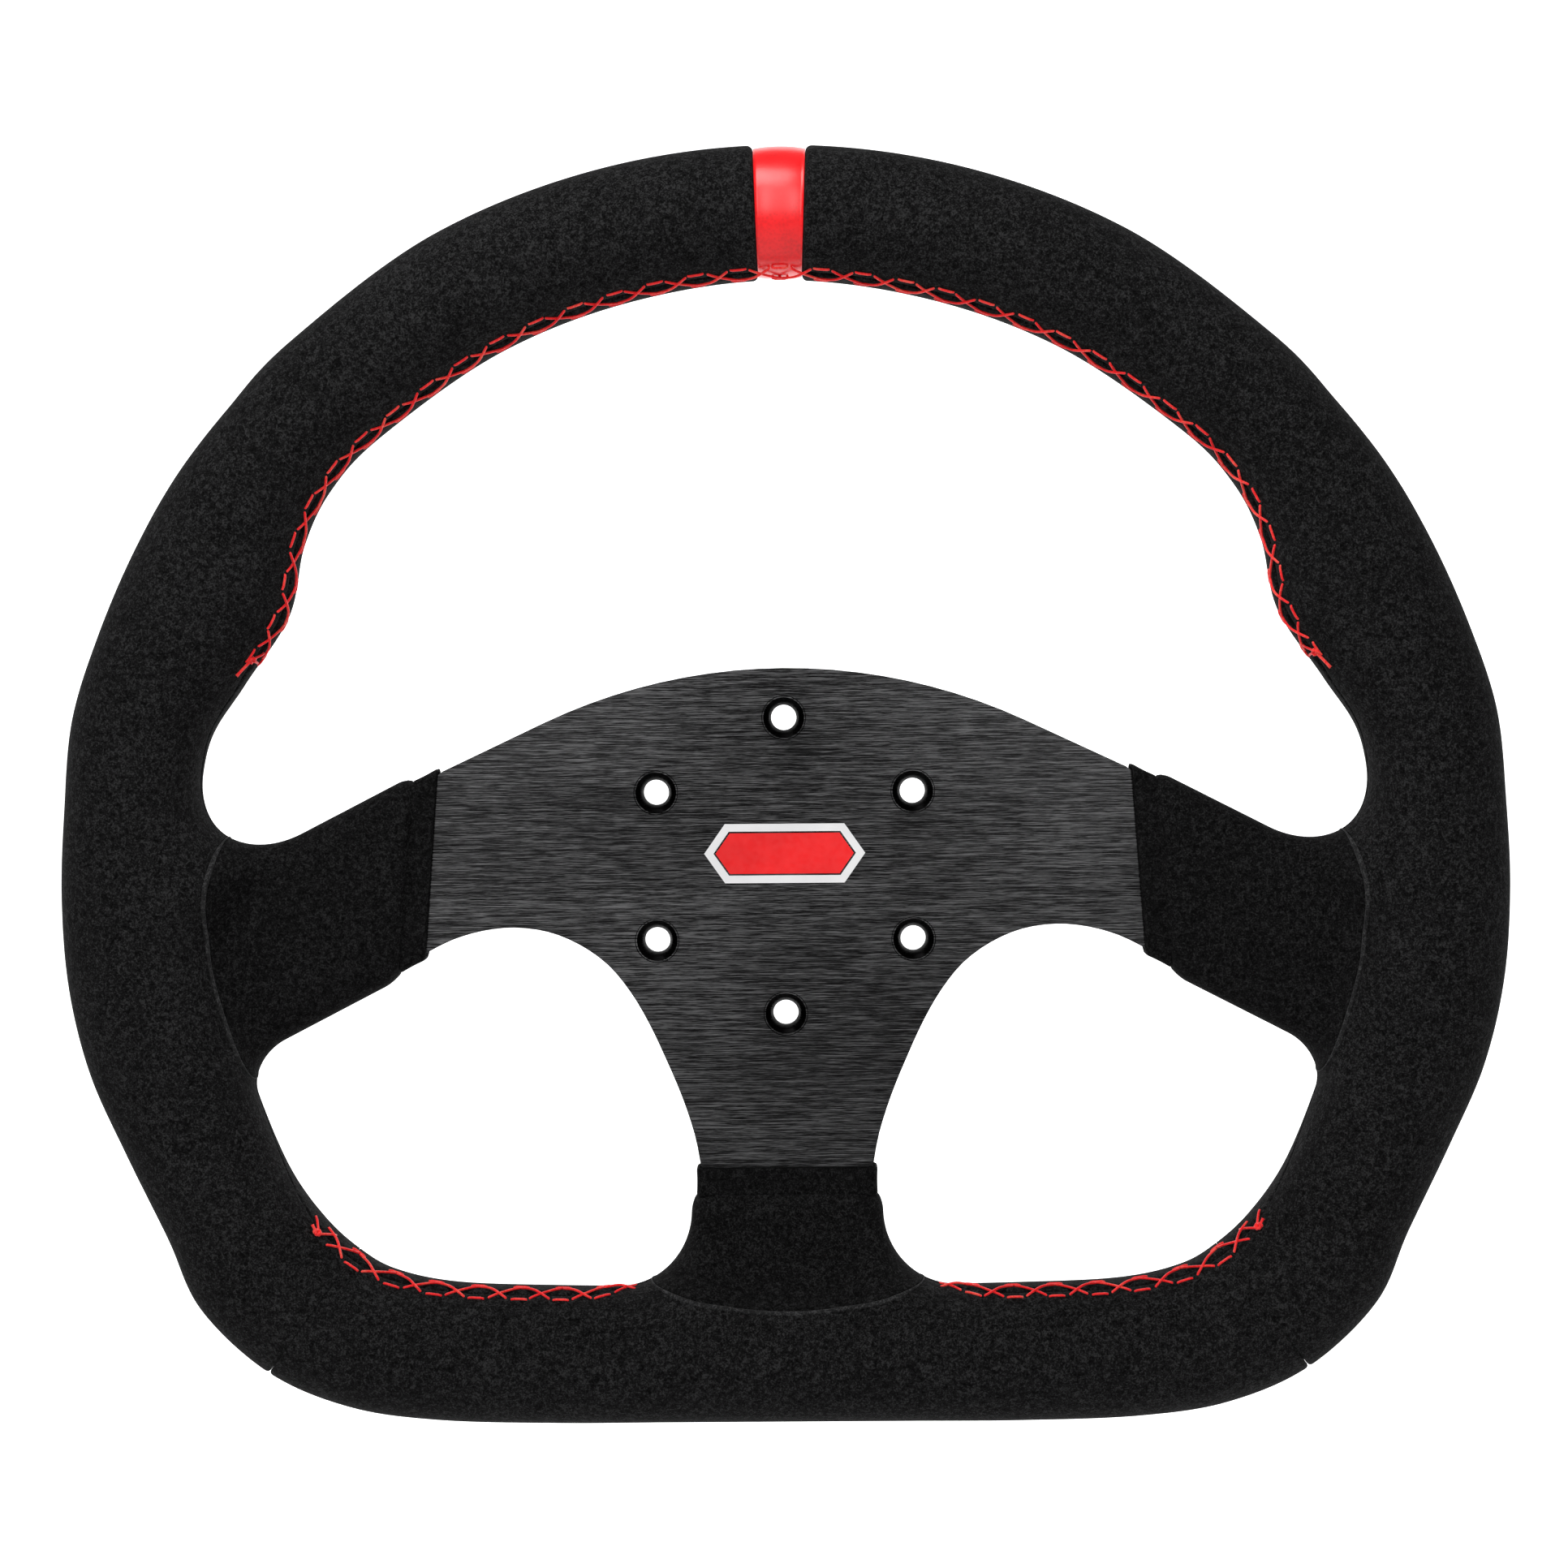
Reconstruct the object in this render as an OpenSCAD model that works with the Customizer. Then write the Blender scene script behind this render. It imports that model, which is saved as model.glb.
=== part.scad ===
// D-shaped racing steering wheel: a spoke plate riveted into a foam and suede rim.
// Units are millimetres. X is to the right, Y is towards the steering hub, Z is up.
// The origin is the centre of the bolt circle, on the back face of the spoke plate.

/* [Spoke plate] */
// Thickness of the spoke plate
plate_t = 5; // [4:0.5:6]
// Diameter of the bolt circle of the hub
bolt_circle_d = 70; // [68:0.5:72]
// Number of hub bolts
bolt_count = 6; // [3:1:6]
// Diameter of a hub bolt hole
bolt_hole_d = 6; // [5:0.1:6.5]
// Diameter of a countersink in the front face
sink_d = 10; // [9:0.5:11]

/* [Rim] */
// Overall width of the rim
rim_w = 337.4; // [332:0.2:342]
// Overall height of the rim
rim_h = 297.2; // [293:0.2:301]
// Depth of the rim from front to back
rim_depth = 30; // [28:1:32]
// Distance of the middle of the rim in front of the mounting face
rim_forward = 11; // [10:0.5:12]
// Squareness of the rim section: 2 is an ellipse
rim_square = 2.2; // [2:0.1:2.6]
// Thickness of the suede cover
cover_t = 1.2; // [1:0.1:1.5]

/* [Hoop] */
// Outer diameter of the steel hoop
hoop_d = 12; // [10:1:13]
// Wall thickness of the steel hoop
hoop_wall = 2; // [1.5:0.5:2.5]
// Distance from the outer edge of the rim to the centre of the hoop
hoop_inset = 15.5; // [15:0.5:16.5]

/* [Spokes] */
// Fall of each side spoke below the horizontal, in degrees
arm_fall = 27.2; // [26:0.2:28]
// Half width of a side sleeve
side_half_w = 20.7; // [20:0.1:21.5]
// Half width of the bottom sleeve
bottom_half_w = 22.8; // [22:0.1:23.5]
// How far a cuff stands out in front of and behind the plate
cuff_stand = 2; // [1.5:0.5:2.5]

/* [Trim] */
// Width of the centre band at the outer edge
band_w = 12; // [8:1:16]
// Thickness of the centre band
band_t = 0.6; // [0.4:0.1:0.8]
// Length of one repeat of the lacing
stitch_pitch = 9.7; // [8:0.1:12]
// Thickness of the lacing thread
thread_d = 0.7; // [0.5:0.1:0.9]
// Length of the badge
badge_l = 38; // [30:1:40]
// Height of the badge
badge_h = 14; // [10:1:18]

/* [Hidden] */

// Stations of the right half of the rim, from top centre to bottom centre:
// a point on the outer edge and the point across from it on the inner edge, as [x, z].
STATIONS = [
    [[0, 167.1], [0, 136.6]], [[41, 162.1], [33.8, 132.1]], [[80, 147.3], [65, 120.5]],
    [[113.2, 123.2], [93, 101.4]], [[128.4, 107.3], [105, 89]], [[140.7, 91.7], [111.5, 76]],
    [[150.8, 74.3], [115.3, 59.5]], [[159.2, 55.3], [126, 43.5]], [[165.5, 35.8], [134.5, 30]],
    [[167.7, 14.5], [137, 12.5]], [[168.7, -6], [135.8, -4.5]], [[167.4, -27], [132.8, -20.5]],
    [[162.8, -47], [128.9, -37]], [[154.6, -66], [124, -53.6]], [[145.2, -85.8], [117, -70.5]],
    [[137.8, -102.6], [109, -82]], [[122, -117.7], [101, -89.5]], [[103, -126], [92.5, -94.4]],
    [[82, -129.2], [78, -97.5]], [[54, -130.1], [54, -98.5]], [[27, -130.1], [27, -98.8]],
    [[0, -130.1], [0, -98.8]]];
half_count = len(STATIONS) - 1;
loop_count = 2 * half_count;
size_x = rim_w / 337.4;
size_z = rim_h / 297.2;
// Half the width of the band, as a share of the way to the first station past top centre.
band_half = band_w / 2 / STATIONS[1][0][0];
// Places of the section rings round the loop: one at the edge of the band, and two a station
// where the stations are far apart.
HALF_RINGS = concat([0, band_half], [for (i = [1:7]) i / 2], [for (i = [4:half_count]) i]);
LOOP_RINGS = concat(HALF_RINGS,
    [for (i = [len(HALF_RINGS) - 2:-1:1]) loop_count - HALF_RINGS[i]]);
rim_sides = 16;
hoop_sides = 10;
rim_half = rim_depth / 2;
hoop_r = hoop_d / 2;

// The upper and lower covers meet at this place on the right half of the loop.
cover_joint = 16;
// The covers stop this share of a station short of the band and of each other.
cover_gap = 0.005;

// Side arm: its own origin, then s along the arm and w across it.
ARM_ORIGIN = [84, 0.7];
arm_dir = [cos(arm_fall), -sin(arm_fall)];
arm_up = [sin(arm_fall), cos(arm_fall)];
arm_place = 11.5;
arm_reach = 1.5;
lug_t = 4;
// How far a lug's end reaches past the near side of the hoop.
lug_bite = 0.3;
// Half the length of hoop that an arm's end, and a lug's end, follow.
arm_spread = 0.6;
lug_spread = 0.7;
rivet_d = 5;
rivet_head_d = 9;
rivet_head_t = 1.5;
rivet_apart = 17;
// The foam stands this far clear of the rivets' heads.
rivet_room = 0.1;
side_rivet_s = 56;
bottom_rivet_z = -98;
// Cutters run this far past the faces they cut, and a sleeve's bore past its inner end.
past = 1;
bore_past = 2;
// A side sleeve: [s at its top edge, s at its bottom edge, half width, half depth, middle depth].
SIDE_SLEEVE = [
    [-6, 17.7, side_half_w - 1.4, 5.6, -2.5], [-2.5, 22, side_half_w, 6.8, -2.6],
    [15, 30, side_half_w, 7.6, -3], [38, 44, side_half_w, 8.4, -4],
    [52, 54, side_half_w, 8.8, -4.6], [66, 64, side_half_w, 9, -5]];
// The bottom sleeve: [z, half width, half depth, middle depth].
BOTTOM_SLEEVE = [
    [-78, bottom_half_w - 1.4, 5.6, -2.5], [-80.6, bottom_half_w, 6.8, -2.6],
    [-88, bottom_half_w, 7.8, -3.4], [-97, bottom_half_w, 8.6, -4.4],
    [-106, bottom_half_w, 9, -5]];
sleeve_square = 3.2;
sleeve_sides = 20;
// A side cuff: its corners as [s, w].
SIDE_CUFF = [[-13.2, 19.3], [-6, 19.3], [17.7, -19.3], [11.2, -19.3]];
BOTTOM_CUFF = [[-21.5, -71.4], [21.5, -71.4], [21.4, -78], [-21.4, -78]];

// The lacing: where its seam sits round the section, and half the seam's width, in degrees.
seam_angle = 198;
seam_half = 9.5;
thread_lift = 0.55;
bow = 0.1;
cross_front = 2.2;
cross_back = 4.8;
dash_half = 1.8;
// Places of the first and last stitches on the right half of the rim.
TOP_LACE_END = 6.4;
LOW_LACE = [15.6, 20];

// The badge: how far its ends slope in for each millimetre of height, and its frame's width.
badge_slope = 0.7;
badge_frame = 1.8;

function mirrored(p) = [-p[0], p[1]];
function station(i) =
    let (k = (i + loop_count) % loop_count)
    let (pair = k <= half_count ? STATIONS[k] : STATIONS[loop_count - k])
    k <= half_count ? pair : [mirrored(pair[0]), mirrored(pair[1])];
function curve(a, b, c, d, f) =
    (2 * b + (c - a) * f + (2 * a - 5 * b + 4 * c - d) * f * f
        + (3 * b - a - 3 * c + d) * f * f * f) / 2;
function edge(t, side) =
    let (i = floor(t), f = t - i)
    let (p = curve(station(i - 1)[side], station(i)[side], station(i + 1)[side],
        station(i + 2)[side], f))
    [p[0] * size_x, p[1] * size_z];
function outward(t) = (edge(t, 0) - edge(t, 1)) / norm(edge(t, 0) - edge(t, 1));
function inset_point(t, inset) = edge(t, 0) - outward(t) * inset;
function blunt(c, square) = sign(c) * pow(abs(c), 2 / square);
function section(p, q, y, depth, square, sides) =
    let (m = (p + q) / 2, r = norm(p - q) / 2, u = (p - q) / norm(p - q))
    [for (k = [0:sides - 1])
        let (a = 360 * (k + 0.5) / sides)
        let (x = r * blunt(cos(a), square), v = depth * blunt(sin(a), square))
        [m[0] + u[0] * x, y + v, m[1] + u[1] * x]];
function rim_ring(t, inset) =
    section(inset_point(t, inset), edge(t, 1) + outward(t) * inset,
        -rim_forward, rim_half - inset, rim_square, rim_sides);
function hoop_ring(t, r) =
    section(inset_point(t, hoop_inset - r), inset_point(t, hoop_inset + r),
        -rim_forward, r, 2, hoop_sides);
function arm_point(s, w) = ARM_ORIGIN + s * arm_dir + w * arm_up;
function side_ring(row, inset) =
    section(arm_point(row[0], row[2] - inset), arm_point(row[1], inset - row[2]),
        row[4], row[3] - inset, sleeve_square, sleeve_sides);
function bottom_ring(row, inset) =
    section([row[1] - inset, row[0]], [inset - row[1], row[0]],
        row[3], row[2] - inset, sleeve_square, sleeve_sides);
function between(t0, t1) =
    let (clear = 0.1)
    concat([t0], [for (t = LOOP_RINGS) if (t > t0 + clear && t < t1 - clear) t], [t1]);

// Skin over a list of rings; a closed skin joins the last ring to the first.
module skin(rings, closed) {
    n = len(rings[0]);
    m = len(rings);
    sides = [for (i = [0:m - (closed ? 1 : 2)], k = [0:n - 1])
        let (j = (i + 1) % m, l = (k + 1) % n)
        each [[i * n + k, i * n + l, j * n + l], [i * n + k, j * n + l, j * n + k]]];
    start = [for (k = [n - 1:-1:0]) k];
    finish = [for (k = [0:n - 1]) (m - 1) * n + k];
    polyhedron(points = [for (r = rings) each r],
        faces = closed ? sides : concat(sides, [start, finish]), convexity = 8);
}

// A tube between two lists of rings, open at both ends.
module pipe(outer, inner) {
    n = len(outer[0]);
    m = len(outer);
    b = m * n;
    walls = [for (i = [0:m - 2], k = [0:n - 1])
        let (l = (k + 1) % n, p = i * n + k, q = i * n + l, r = (i + 1) * n + l, s = (i + 1) * n + k)
        each [[p, q, r], [p, r, s], [b + q, b + p, b + r], [b + p, b + s, b + r]]];
    rims = [for (k = [0:n - 1])
        let (l = (k + 1) % n, e = (m - 1) * n)
        each [[l, k, b + k], [l, b + k, b + l],
            [e + k, e + l, b + e + l], [e + k, b + e + l, b + e + k]]];
    polyhedron(points = concat([for (ring = outer) each ring], [for (ring = inner) each ring]),
        faces = concat(walls, rims), convexity = 8);
}

// A soft piece whose surfaces are free curves throughout.
module soft() {
    resize([0, 0, 0]) children();
}

module in_depth(y0, y1) {
    translate([0, y1, 0]) rotate([90, 0, 0]) linear_extrude(y1 - y0, convexity = 6) children();
}

module rim_solid(inset) {
    skin([for (t = LOOP_RINGS) rim_ring(t, inset)], true);
}

module rim_length(t0, t1, inset) {
    skin([for (t = between(t0, t1)) rim_ring(t, inset)], false);
}

module side_arm_solid(inset, start) {
    first = side_ring(SIDE_SLEEVE[0] - [start, start, 0, 0, 0], inset);
    rest = [for (i = [1:len(SIDE_SLEEVE) - 1]) side_ring(SIDE_SLEEVE[i], inset)];
    skin(concat([first], rest), false);
}

module bottom_arm_solid(inset, start) {
    first = bottom_ring(BOTTOM_SLEEVE[0] + [start, 0, 0, 0], inset);
    rest = [for (i = [1:len(BOTTOM_SLEEVE) - 1]) bottom_ring(BOTTOM_SLEEVE[i], inset)];
    skin(concat([first], rest), false);
}

module both_sides() {
    children();
    mirror([1, 0, 0]) children();
}

module all_arm_solids(inset, start) {
    both_sides() side_arm_solid(inset, start);
    bottom_arm_solid(inset, start);
}

module hoop_core() {
    skin([for (t = LOOP_RINGS) hoop_ring(t, hoop_r)], true);
}

// Outline of the right half of the plate, clockwise from the top centre.
top_r = 134;
top_z = 46.7;
TOP_EDGE = [for (a = [0:2.5:25]) [top_r * sin(a), top_z - top_r * (1 - cos(a))]];
ARM_TOP = [arm_point(-13.2, 18.2), arm_point(-5, 16.6), arm_point(58, 14.5)];
ARM_END = [for (k = [-1:2/3:1])
    inset_point(arm_place + k * arm_spread, hoop_inset + hoop_r + arm_reach)];
ARM_LOW = [arm_point(57, -14.5), arm_point(19, -16.6)];
LOW_POINTS = [arm_point(11.2, -18), [78.8, -17], [71.5, -14.9], [64, -14.2], [56, -15.3], [48.6, -18.4],
    [42, -23.2], [36.8, -29.6], [32.6, -36.8], [28.6, -45.4], [24.8, -54.6], [21.9, -63.6], [20.4, -71.4]];
low_last = len(LOW_POINTS) - 1;
LOW_EDGE = [for (i = [0:low_last - 1], f = [0, 1/3, 2/3])
    curve(LOW_POINTS[max(i - 1, 0)], LOW_POINTS[i], LOW_POINTS[i + 1],
        LOW_POINTS[min(i + 2, low_last)], f)];
STEM = [[20.4, -71.4], [18.6, -78], [16, -103], [12, -106.8]];
PLATE_HALF = concat(TOP_EDGE, ARM_TOP, ARM_END, ARM_LOW, LOW_EDGE, STEM);
PLATE_OUTLINE = concat(PLATE_HALF,
    [for (i = [len(PLATE_HALF) - 1:-1:1]) mirrored(PLATE_HALF[i])]);

module plate_blank() {
    in_depth(-plate_t, 0) polygon(PLATE_OUTLINE);
}

module hub_hole() {
    sink_depth = (sink_d - bolt_hole_d) / 2;
    rotate([90, 0, 0]) {
        translate([0, 0, -past]) cylinder(d = bolt_hole_d, h = plate_t + 2 * past, $fn = 64);
        translate([0, 0, plate_t - sink_depth])
            cylinder(d1 = bolt_hole_d, d2 = sink_d + 2 * past, h = sink_depth + past, $fn = 64);
    }
}

// Places the two rivets of a side arm or of the bottom arm.
RIVETS_SIDE = [for (w = [-0.5, 0.5]) arm_point(side_rivet_s, w * rivet_apart)];
RIVETS_BOTTOM = [for (w = [-0.5, 0.5]) [w * rivet_apart, bottom_rivet_z]];

module at_rivets(places) {
    for (p = places) translate([p[0], 0, p[1]]) rotate([90, 0, 0]) children();
}

module at_all_rivets() {
    both_sides() at_rivets(RIVETS_SIDE) children();
    at_rivets(RIVETS_BOTTOM) children();
}

module rivet(room, sides) {
    translate([0, 0, -rivet_head_t - room])
        cylinder(d = rivet_head_d + 2 * room, h = rivet_head_t + room, $fn = sides);
    cylinder(d = rivet_d, h = plate_t + lug_t, $fn = sides);
    translate([0, 0, plate_t + lug_t])
        cylinder(d = rivet_head_d + 2 * room, h = rivet_head_t + room, $fn = sides);
}

module rivet_hole() {
    translate([0, 0, -past]) cylinder(d = rivet_d, h = plate_t + lug_t + 2 * past, $fn = 48);
}

// A lug lies on the front of the plate and ends at the side of the hoop.
LUG_SIDE = concat(
    [for (k = [-1:0.5:1]) inset_point(arm_place + k * lug_spread, hoop_inset + hoop_r - lug_bite)],
    [arm_point(46, -13), arm_point(44, -10), arm_point(44, 10), arm_point(46, 13)]);
LUG_BOTTOM = [[-14, -108.9], [-14, -90], [-11, -88], [11, -88], [14, -90], [14, -108.9]];

module lug_blank(outline) {
    in_depth(-plate_t - lug_t, -plate_t) polygon(outline);
}

module side_lug() {
    difference() {
        lug_blank(LUG_SIDE);
        at_rivets(RIVETS_SIDE) rivet_hole();
    }
}

// The steel and aluminium that the foam is moulded round.
module insert_blank() {
    plate_blank();
    both_sides() lug_blank(LUG_SIDE);
    lug_blank(LUG_BOTTOM);
    at_all_rivets() rivet(rivet_room, 24);
}

module spoke_plate() {
    color("#2b2b2d") difference() {
        plate_blank();
        for (i = [0:bolt_count - 1])
            rotate([0, -90 - 360 * i / bolt_count, 0]) translate([bolt_circle_d / 2, 0, 0]) hub_hole();
        at_all_rivets() rivet_hole();
    }
}

module rim_hoop() {
    // The hoop's ends stand this share of a station off bottom centre.
    ends = 0.05;
    bottom = len(HALF_RINGS) - 1;
    between_ends = [for (i = [1:len(LOOP_RINGS) - 1]) LOOP_RINGS[(bottom + i) % len(LOOP_RINGS)]];
    loop = concat([half_count + ends], between_ends, [half_count - ends]);
    color("#8a8d90") pipe([for (t = loop) hoop_ring(t, hoop_r)],
        [for (t = loop) hoop_ring(t, hoop_r - hoop_wall)]);
}

module hoop_spigot() {
    length = 36;
    clearance = 0.1;
    bore = (hoop_r - hoop_wall) * 2 * cos(180 / hoop_sides) - clearance;
    z = inset_point(half_count, hoop_inset)[1];
    color("#6f7276") translate([-length / 2, -rim_forward, z]) rotate([0, 90, 0])
        cylinder(d = bore, h = length, $fn = 48);
}

module left_arm_lug() {
    color("#9a9da0") mirror([1, 0, 0]) side_lug();
}

module right_arm_lug() {
    color("#9a9da0") side_lug();
}

module bottom_arm_lug() {
    color("#9a9da0") difference() {
        lug_blank(LUG_BOTTOM);
        at_rivets(RIVETS_BOTTOM) rivet_hole();
    }
}

module arm_rivets() {
    color("#b9bcc0") at_all_rivets() rivet(0, 48);
}

module grip_foam() {
    color("#3a3a3c") soft() difference() {
        union() {
            rim_solid(cover_t);
            all_arm_solids(cover_t, 0);
        }
        hoop_core();
        insert_blank();
    }
}

// The suede of a length of rim, cut away where the arms come in.
module cover_length(t0, t1) {
    soft() difference() {
        rim_length(t0, t1, 0);
        rim_solid(cover_t);
        all_arm_solids(0, 0);
    }
}

module upper_left_cover() {
    color("#1d1d1e") mirror([1, 0, 0]) cover_length(band_half + cover_gap, cover_joint);
}

module upper_right_cover() {
    color("#1d1d1e") cover_length(band_half + cover_gap, cover_joint);
}

module lower_cover() {
    color("#1a1a1b") cover_length(cover_joint + cover_gap, loop_count - cover_joint - cover_gap);
}

module centre_band() {
    places = [-band_half, 0, band_half];
    color("#e01010") pipe([for (t = places) rim_ring(t, cover_t - band_t)],
        [for (t = places) rim_ring(t, cover_t)]);
}

module side_sleeve() {
    soft() difference() {
        side_arm_solid(0, 0);
        side_arm_solid(cover_t, bore_past);
        rim_solid(cover_t);
    }
}

module left_sleeve() {
    color("#171718") mirror([1, 0, 0]) side_sleeve();
}

module right_sleeve() {
    color("#171718") side_sleeve();
}

module bottom_sleeve() {
    color("#171718") soft() difference() {
        bottom_arm_solid(0, 0);
        bottom_arm_solid(cover_t, bore_past);
        rim_solid(cover_t);
    }
}

module cuff(outline) {
    difference() {
        in_depth(-plate_t - cuff_stand, cuff_stand) polygon(outline);
        plate_blank();
    }
}

SIDE_CUFF_OUTLINE = [for (p = SIDE_CUFF) arm_point(p[0], p[1])];

module left_cuff() {
    color("#111112") mirror([1, 0, 0]) cuff(SIDE_CUFF_OUTLINE);
}

module right_cuff() {
    color("#111112") cuff(SIDE_CUFF_OUTLINE);
}

module bottom_cuff() {
    color("#111112") cuff(BOTTOM_CUFF);
}

// A point on the rim: place round the loop, angle round the section, height off the cover.
function rim_point(t, a, lift) =
    let (p = inset_point(t, -lift), q = edge(t, 1) - outward(t) * lift)
    let (m = (p + q) / 2, r = norm(p - q) / 2, u = (p - q) / norm(p - q))
    let (x = r * blunt(cos(a), rim_square), v = (rim_half + lift) * blunt(sin(a), rim_square))
    [m[0] + u[0] * x, v - rim_forward, m[1] + u[1] * x];

// A length of thread through a list of points, four-sided.
module thread(points) {
    last = len(points) - 1;
    rings = [for (i = [0:last])
        let (d = points[min(i + 1, last)] - points[max(i - 1, 0)], along = d / norm(d))
        let (side = cross(along, [0, 1, 0]))
        let (u = side / norm(side) * thread_d / 2, v = cross(u, along))
        [for (c = [u, v, -u, -v]) points[i] + c]];
    skin(rings, false);
}

// A strand across the seam, bent once so that it follows the round of the rim.
module strand(t0, a0, t1, a1, lift) {
    thread([rim_point(t0, a0, lift), rim_point((t0 + t1) / 2, (a0 + a1) / 2, lift + bow),
        rim_point(t1, a1, lift)]);
}

// One repeat of the lacing at place t: two strands that cross, and a dash in the front hem.
module stitch(t, mm) {
    front = seam_angle + seam_half;
    back = seam_angle - seam_half;
    strand(t - cross_front * mm, front, t + cross_back * mm, back, thread_lift);
    strand(t + cross_front * mm, front, t - cross_back * mm, back, thread_lift + thread_d);
    middle = t + stitch_pitch / 2 * mm;
    thread([rim_point(middle - dash_half * mm, front, thread_lift),
        rim_point(middle + dash_half * mm, front, thread_lift)]);
}

// Lacing along the inner edge: from place t0, a number of repeats, each a step long.
function edge_step(t) =
    let (nudge = 0.05)
    stitch_pitch * 2 * nudge / norm(edge(t + nudge, 1) - edge(t - nudge, 1));
function stitch_places(t0, t1) =
    t0 > t1 ? [] : concat([t0], stitch_places(t0 + edge_step(t0), t1));

module lacing(t0, t1) {
    for (t = stitch_places(t0, t1)) stitch(t, edge_step(t) / stitch_pitch);
}

module top_lacing() {
    color("#e0221c") soft() union() {
        both_sides() lacing(edge_step(0) / 2, TOP_LACE_END);
        thread([for (x = [-dash_half, dash_half])
            rim_point(x * edge_step(0) / stitch_pitch, seam_angle + seam_half, thread_lift)]);
    }
}

module lower_left_lacing() {
    color("#e0221c") soft() mirror([1, 0, 0]) lacing(LOW_LACE[0], LOW_LACE[1]);
}

module lower_right_lacing() {
    color("#e0221c") soft() lacing(LOW_LACE[0], LOW_LACE[1]);
}

// The badge is a long hexagon in a frame, on the front face a little above the centre.
function badge_outline(inset) =
    let (high = badge_h / 2 - inset)
    let (tip = badge_l / 2 - inset * norm([1, badge_slope]))
    let (shoulder = tip - high * badge_slope)
    [[tip, 0], [shoulder, high], [-shoulder, high],
        [-tip, 0], [-shoulder, -high], [shoulder, -high]];

module badge_place() {
    badge_t = 0.3;
    above = 3;
    translate([0, -plate_t, above]) in_depth(-badge_t, 0) children();
}

module badge_red() {
    gap = 0.4;
    color("#e31b1b") badge_place() polygon(badge_outline(badge_frame + gap));
}

module badge_white() {
    color("#f4f4f4") badge_place() difference() {
        polygon(badge_outline(0));
        polygon(badge_outline(badge_frame));
    }
}

spoke_plate();
rim_hoop();
hoop_spigot();
left_arm_lug();
right_arm_lug();
bottom_arm_lug();
arm_rivets();
grip_foam();
upper_left_cover();
upper_right_cover();
lower_cover();
centre_band();
left_sleeve();
right_sleeve();
bottom_sleeve();
left_cuff();
right_cuff();
bottom_cuff();
top_lacing();
lower_left_lacing();
lower_right_lacing();
badge_red();
badge_white();
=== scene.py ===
import math

import bmesh
import bpy
import numpy as np
from mathutils import Matrix, Vector


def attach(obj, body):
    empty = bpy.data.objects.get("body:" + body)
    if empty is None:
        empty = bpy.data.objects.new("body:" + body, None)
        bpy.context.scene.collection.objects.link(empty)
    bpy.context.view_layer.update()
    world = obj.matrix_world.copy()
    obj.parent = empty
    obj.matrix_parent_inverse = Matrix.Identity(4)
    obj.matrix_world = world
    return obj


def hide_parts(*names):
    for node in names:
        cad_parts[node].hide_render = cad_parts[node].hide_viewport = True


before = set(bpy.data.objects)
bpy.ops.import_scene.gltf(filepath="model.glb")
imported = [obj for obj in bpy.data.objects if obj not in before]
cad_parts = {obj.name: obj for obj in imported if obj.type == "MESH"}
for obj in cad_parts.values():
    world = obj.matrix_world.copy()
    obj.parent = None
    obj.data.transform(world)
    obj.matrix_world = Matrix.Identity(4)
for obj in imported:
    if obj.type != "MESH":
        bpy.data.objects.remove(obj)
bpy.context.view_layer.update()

# Lengths below are in millimetres, in the CAD's frame: X right, Y to the hub, Z up.
MM = 0.001
ROOT = "root"

# ---------------------------------------------------------------- the rim's shape

# Right half of the rim from top centre to bottom centre: a point on the outer edge
# and the point across from it on the inner edge, as (x, z).
STATIONS = (
    ((0, 167.1), (0, 136.6)), ((41, 162.1), (33.8, 132.1)), ((80, 147.3), (65, 120.5)),
    ((113.2, 123.2), (93, 101.4)), ((128.4, 107.3), (105, 89)), ((140.7, 91.7), (111.5, 76)),
    ((150.8, 74.3), (115.3, 59.5)), ((159.2, 55.3), (126, 43.5)), ((165.5, 35.8), (134.5, 30)),
    ((167.7, 14.5), (137, 12.5)), ((168.7, -6), (135.8, -4.5)), ((167.4, -27), (132.8, -20.5)),
    ((162.8, -47), (128.9, -37)), ((154.6, -66), (124, -53.6)), ((145.2, -85.8), (117, -70.5)),
    ((137.8, -102.6), (109, -82)), ((122, -117.7), (101, -89.5)), ((103, -126), (92.5, -94.4)),
    ((82, -129.2), (78, -97.5)), ((54, -130.1), (54, -98.5)), ((27, -130.1), (27, -98.8)),
    ((0, -130.1), (0, -98.8)))
HALF = len(STATIONS) - 1
MIRROR = np.array((-1.0, 1.0))
LOOP = np.array(list(STATIONS) + [(MIRROR * a, MIRROR * b) for a, b in STATIONS[-2:0:-1]], float)
RIM_Y = -11.0
RIM_DEEP = 15.0
# A typical half width of the rim, for places where its own is not looked up.
RIM_HALF_WIDE = 15.5
SQUARE = 2.2
# Turns the ratio in rim_field into a distance, roughly.
FIELD_SCALE = 15.2
COVER_T = 1.1


def edge(t, side):
    """Points on the rim's outer edge (side 0) or inner edge (side 1) at places t round the loop."""
    t = np.asarray(t, float)
    i = np.floor(t).astype(int)
    f = (t - i)[..., None]
    a, b, c, d = (LOOP[(i + k) % len(LOOP), side] for k in (-1, 0, 1, 2))
    return (2 * b + (c - a) * f + (2 * a - 5 * b + 4 * c - d) * f**2 + (3 * b - a - 3 * c + d) * f**3) / 2


def section(t):
    """Middle, outward direction and half width of the rim's section at t."""
    outer, inner = edge(t, 0), edge(t, 1)
    half = np.linalg.norm(outer - inner, axis=-1) / 2
    return (outer + inner) / 2, (outer - inner) / (2 * half[..., None]), half


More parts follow.
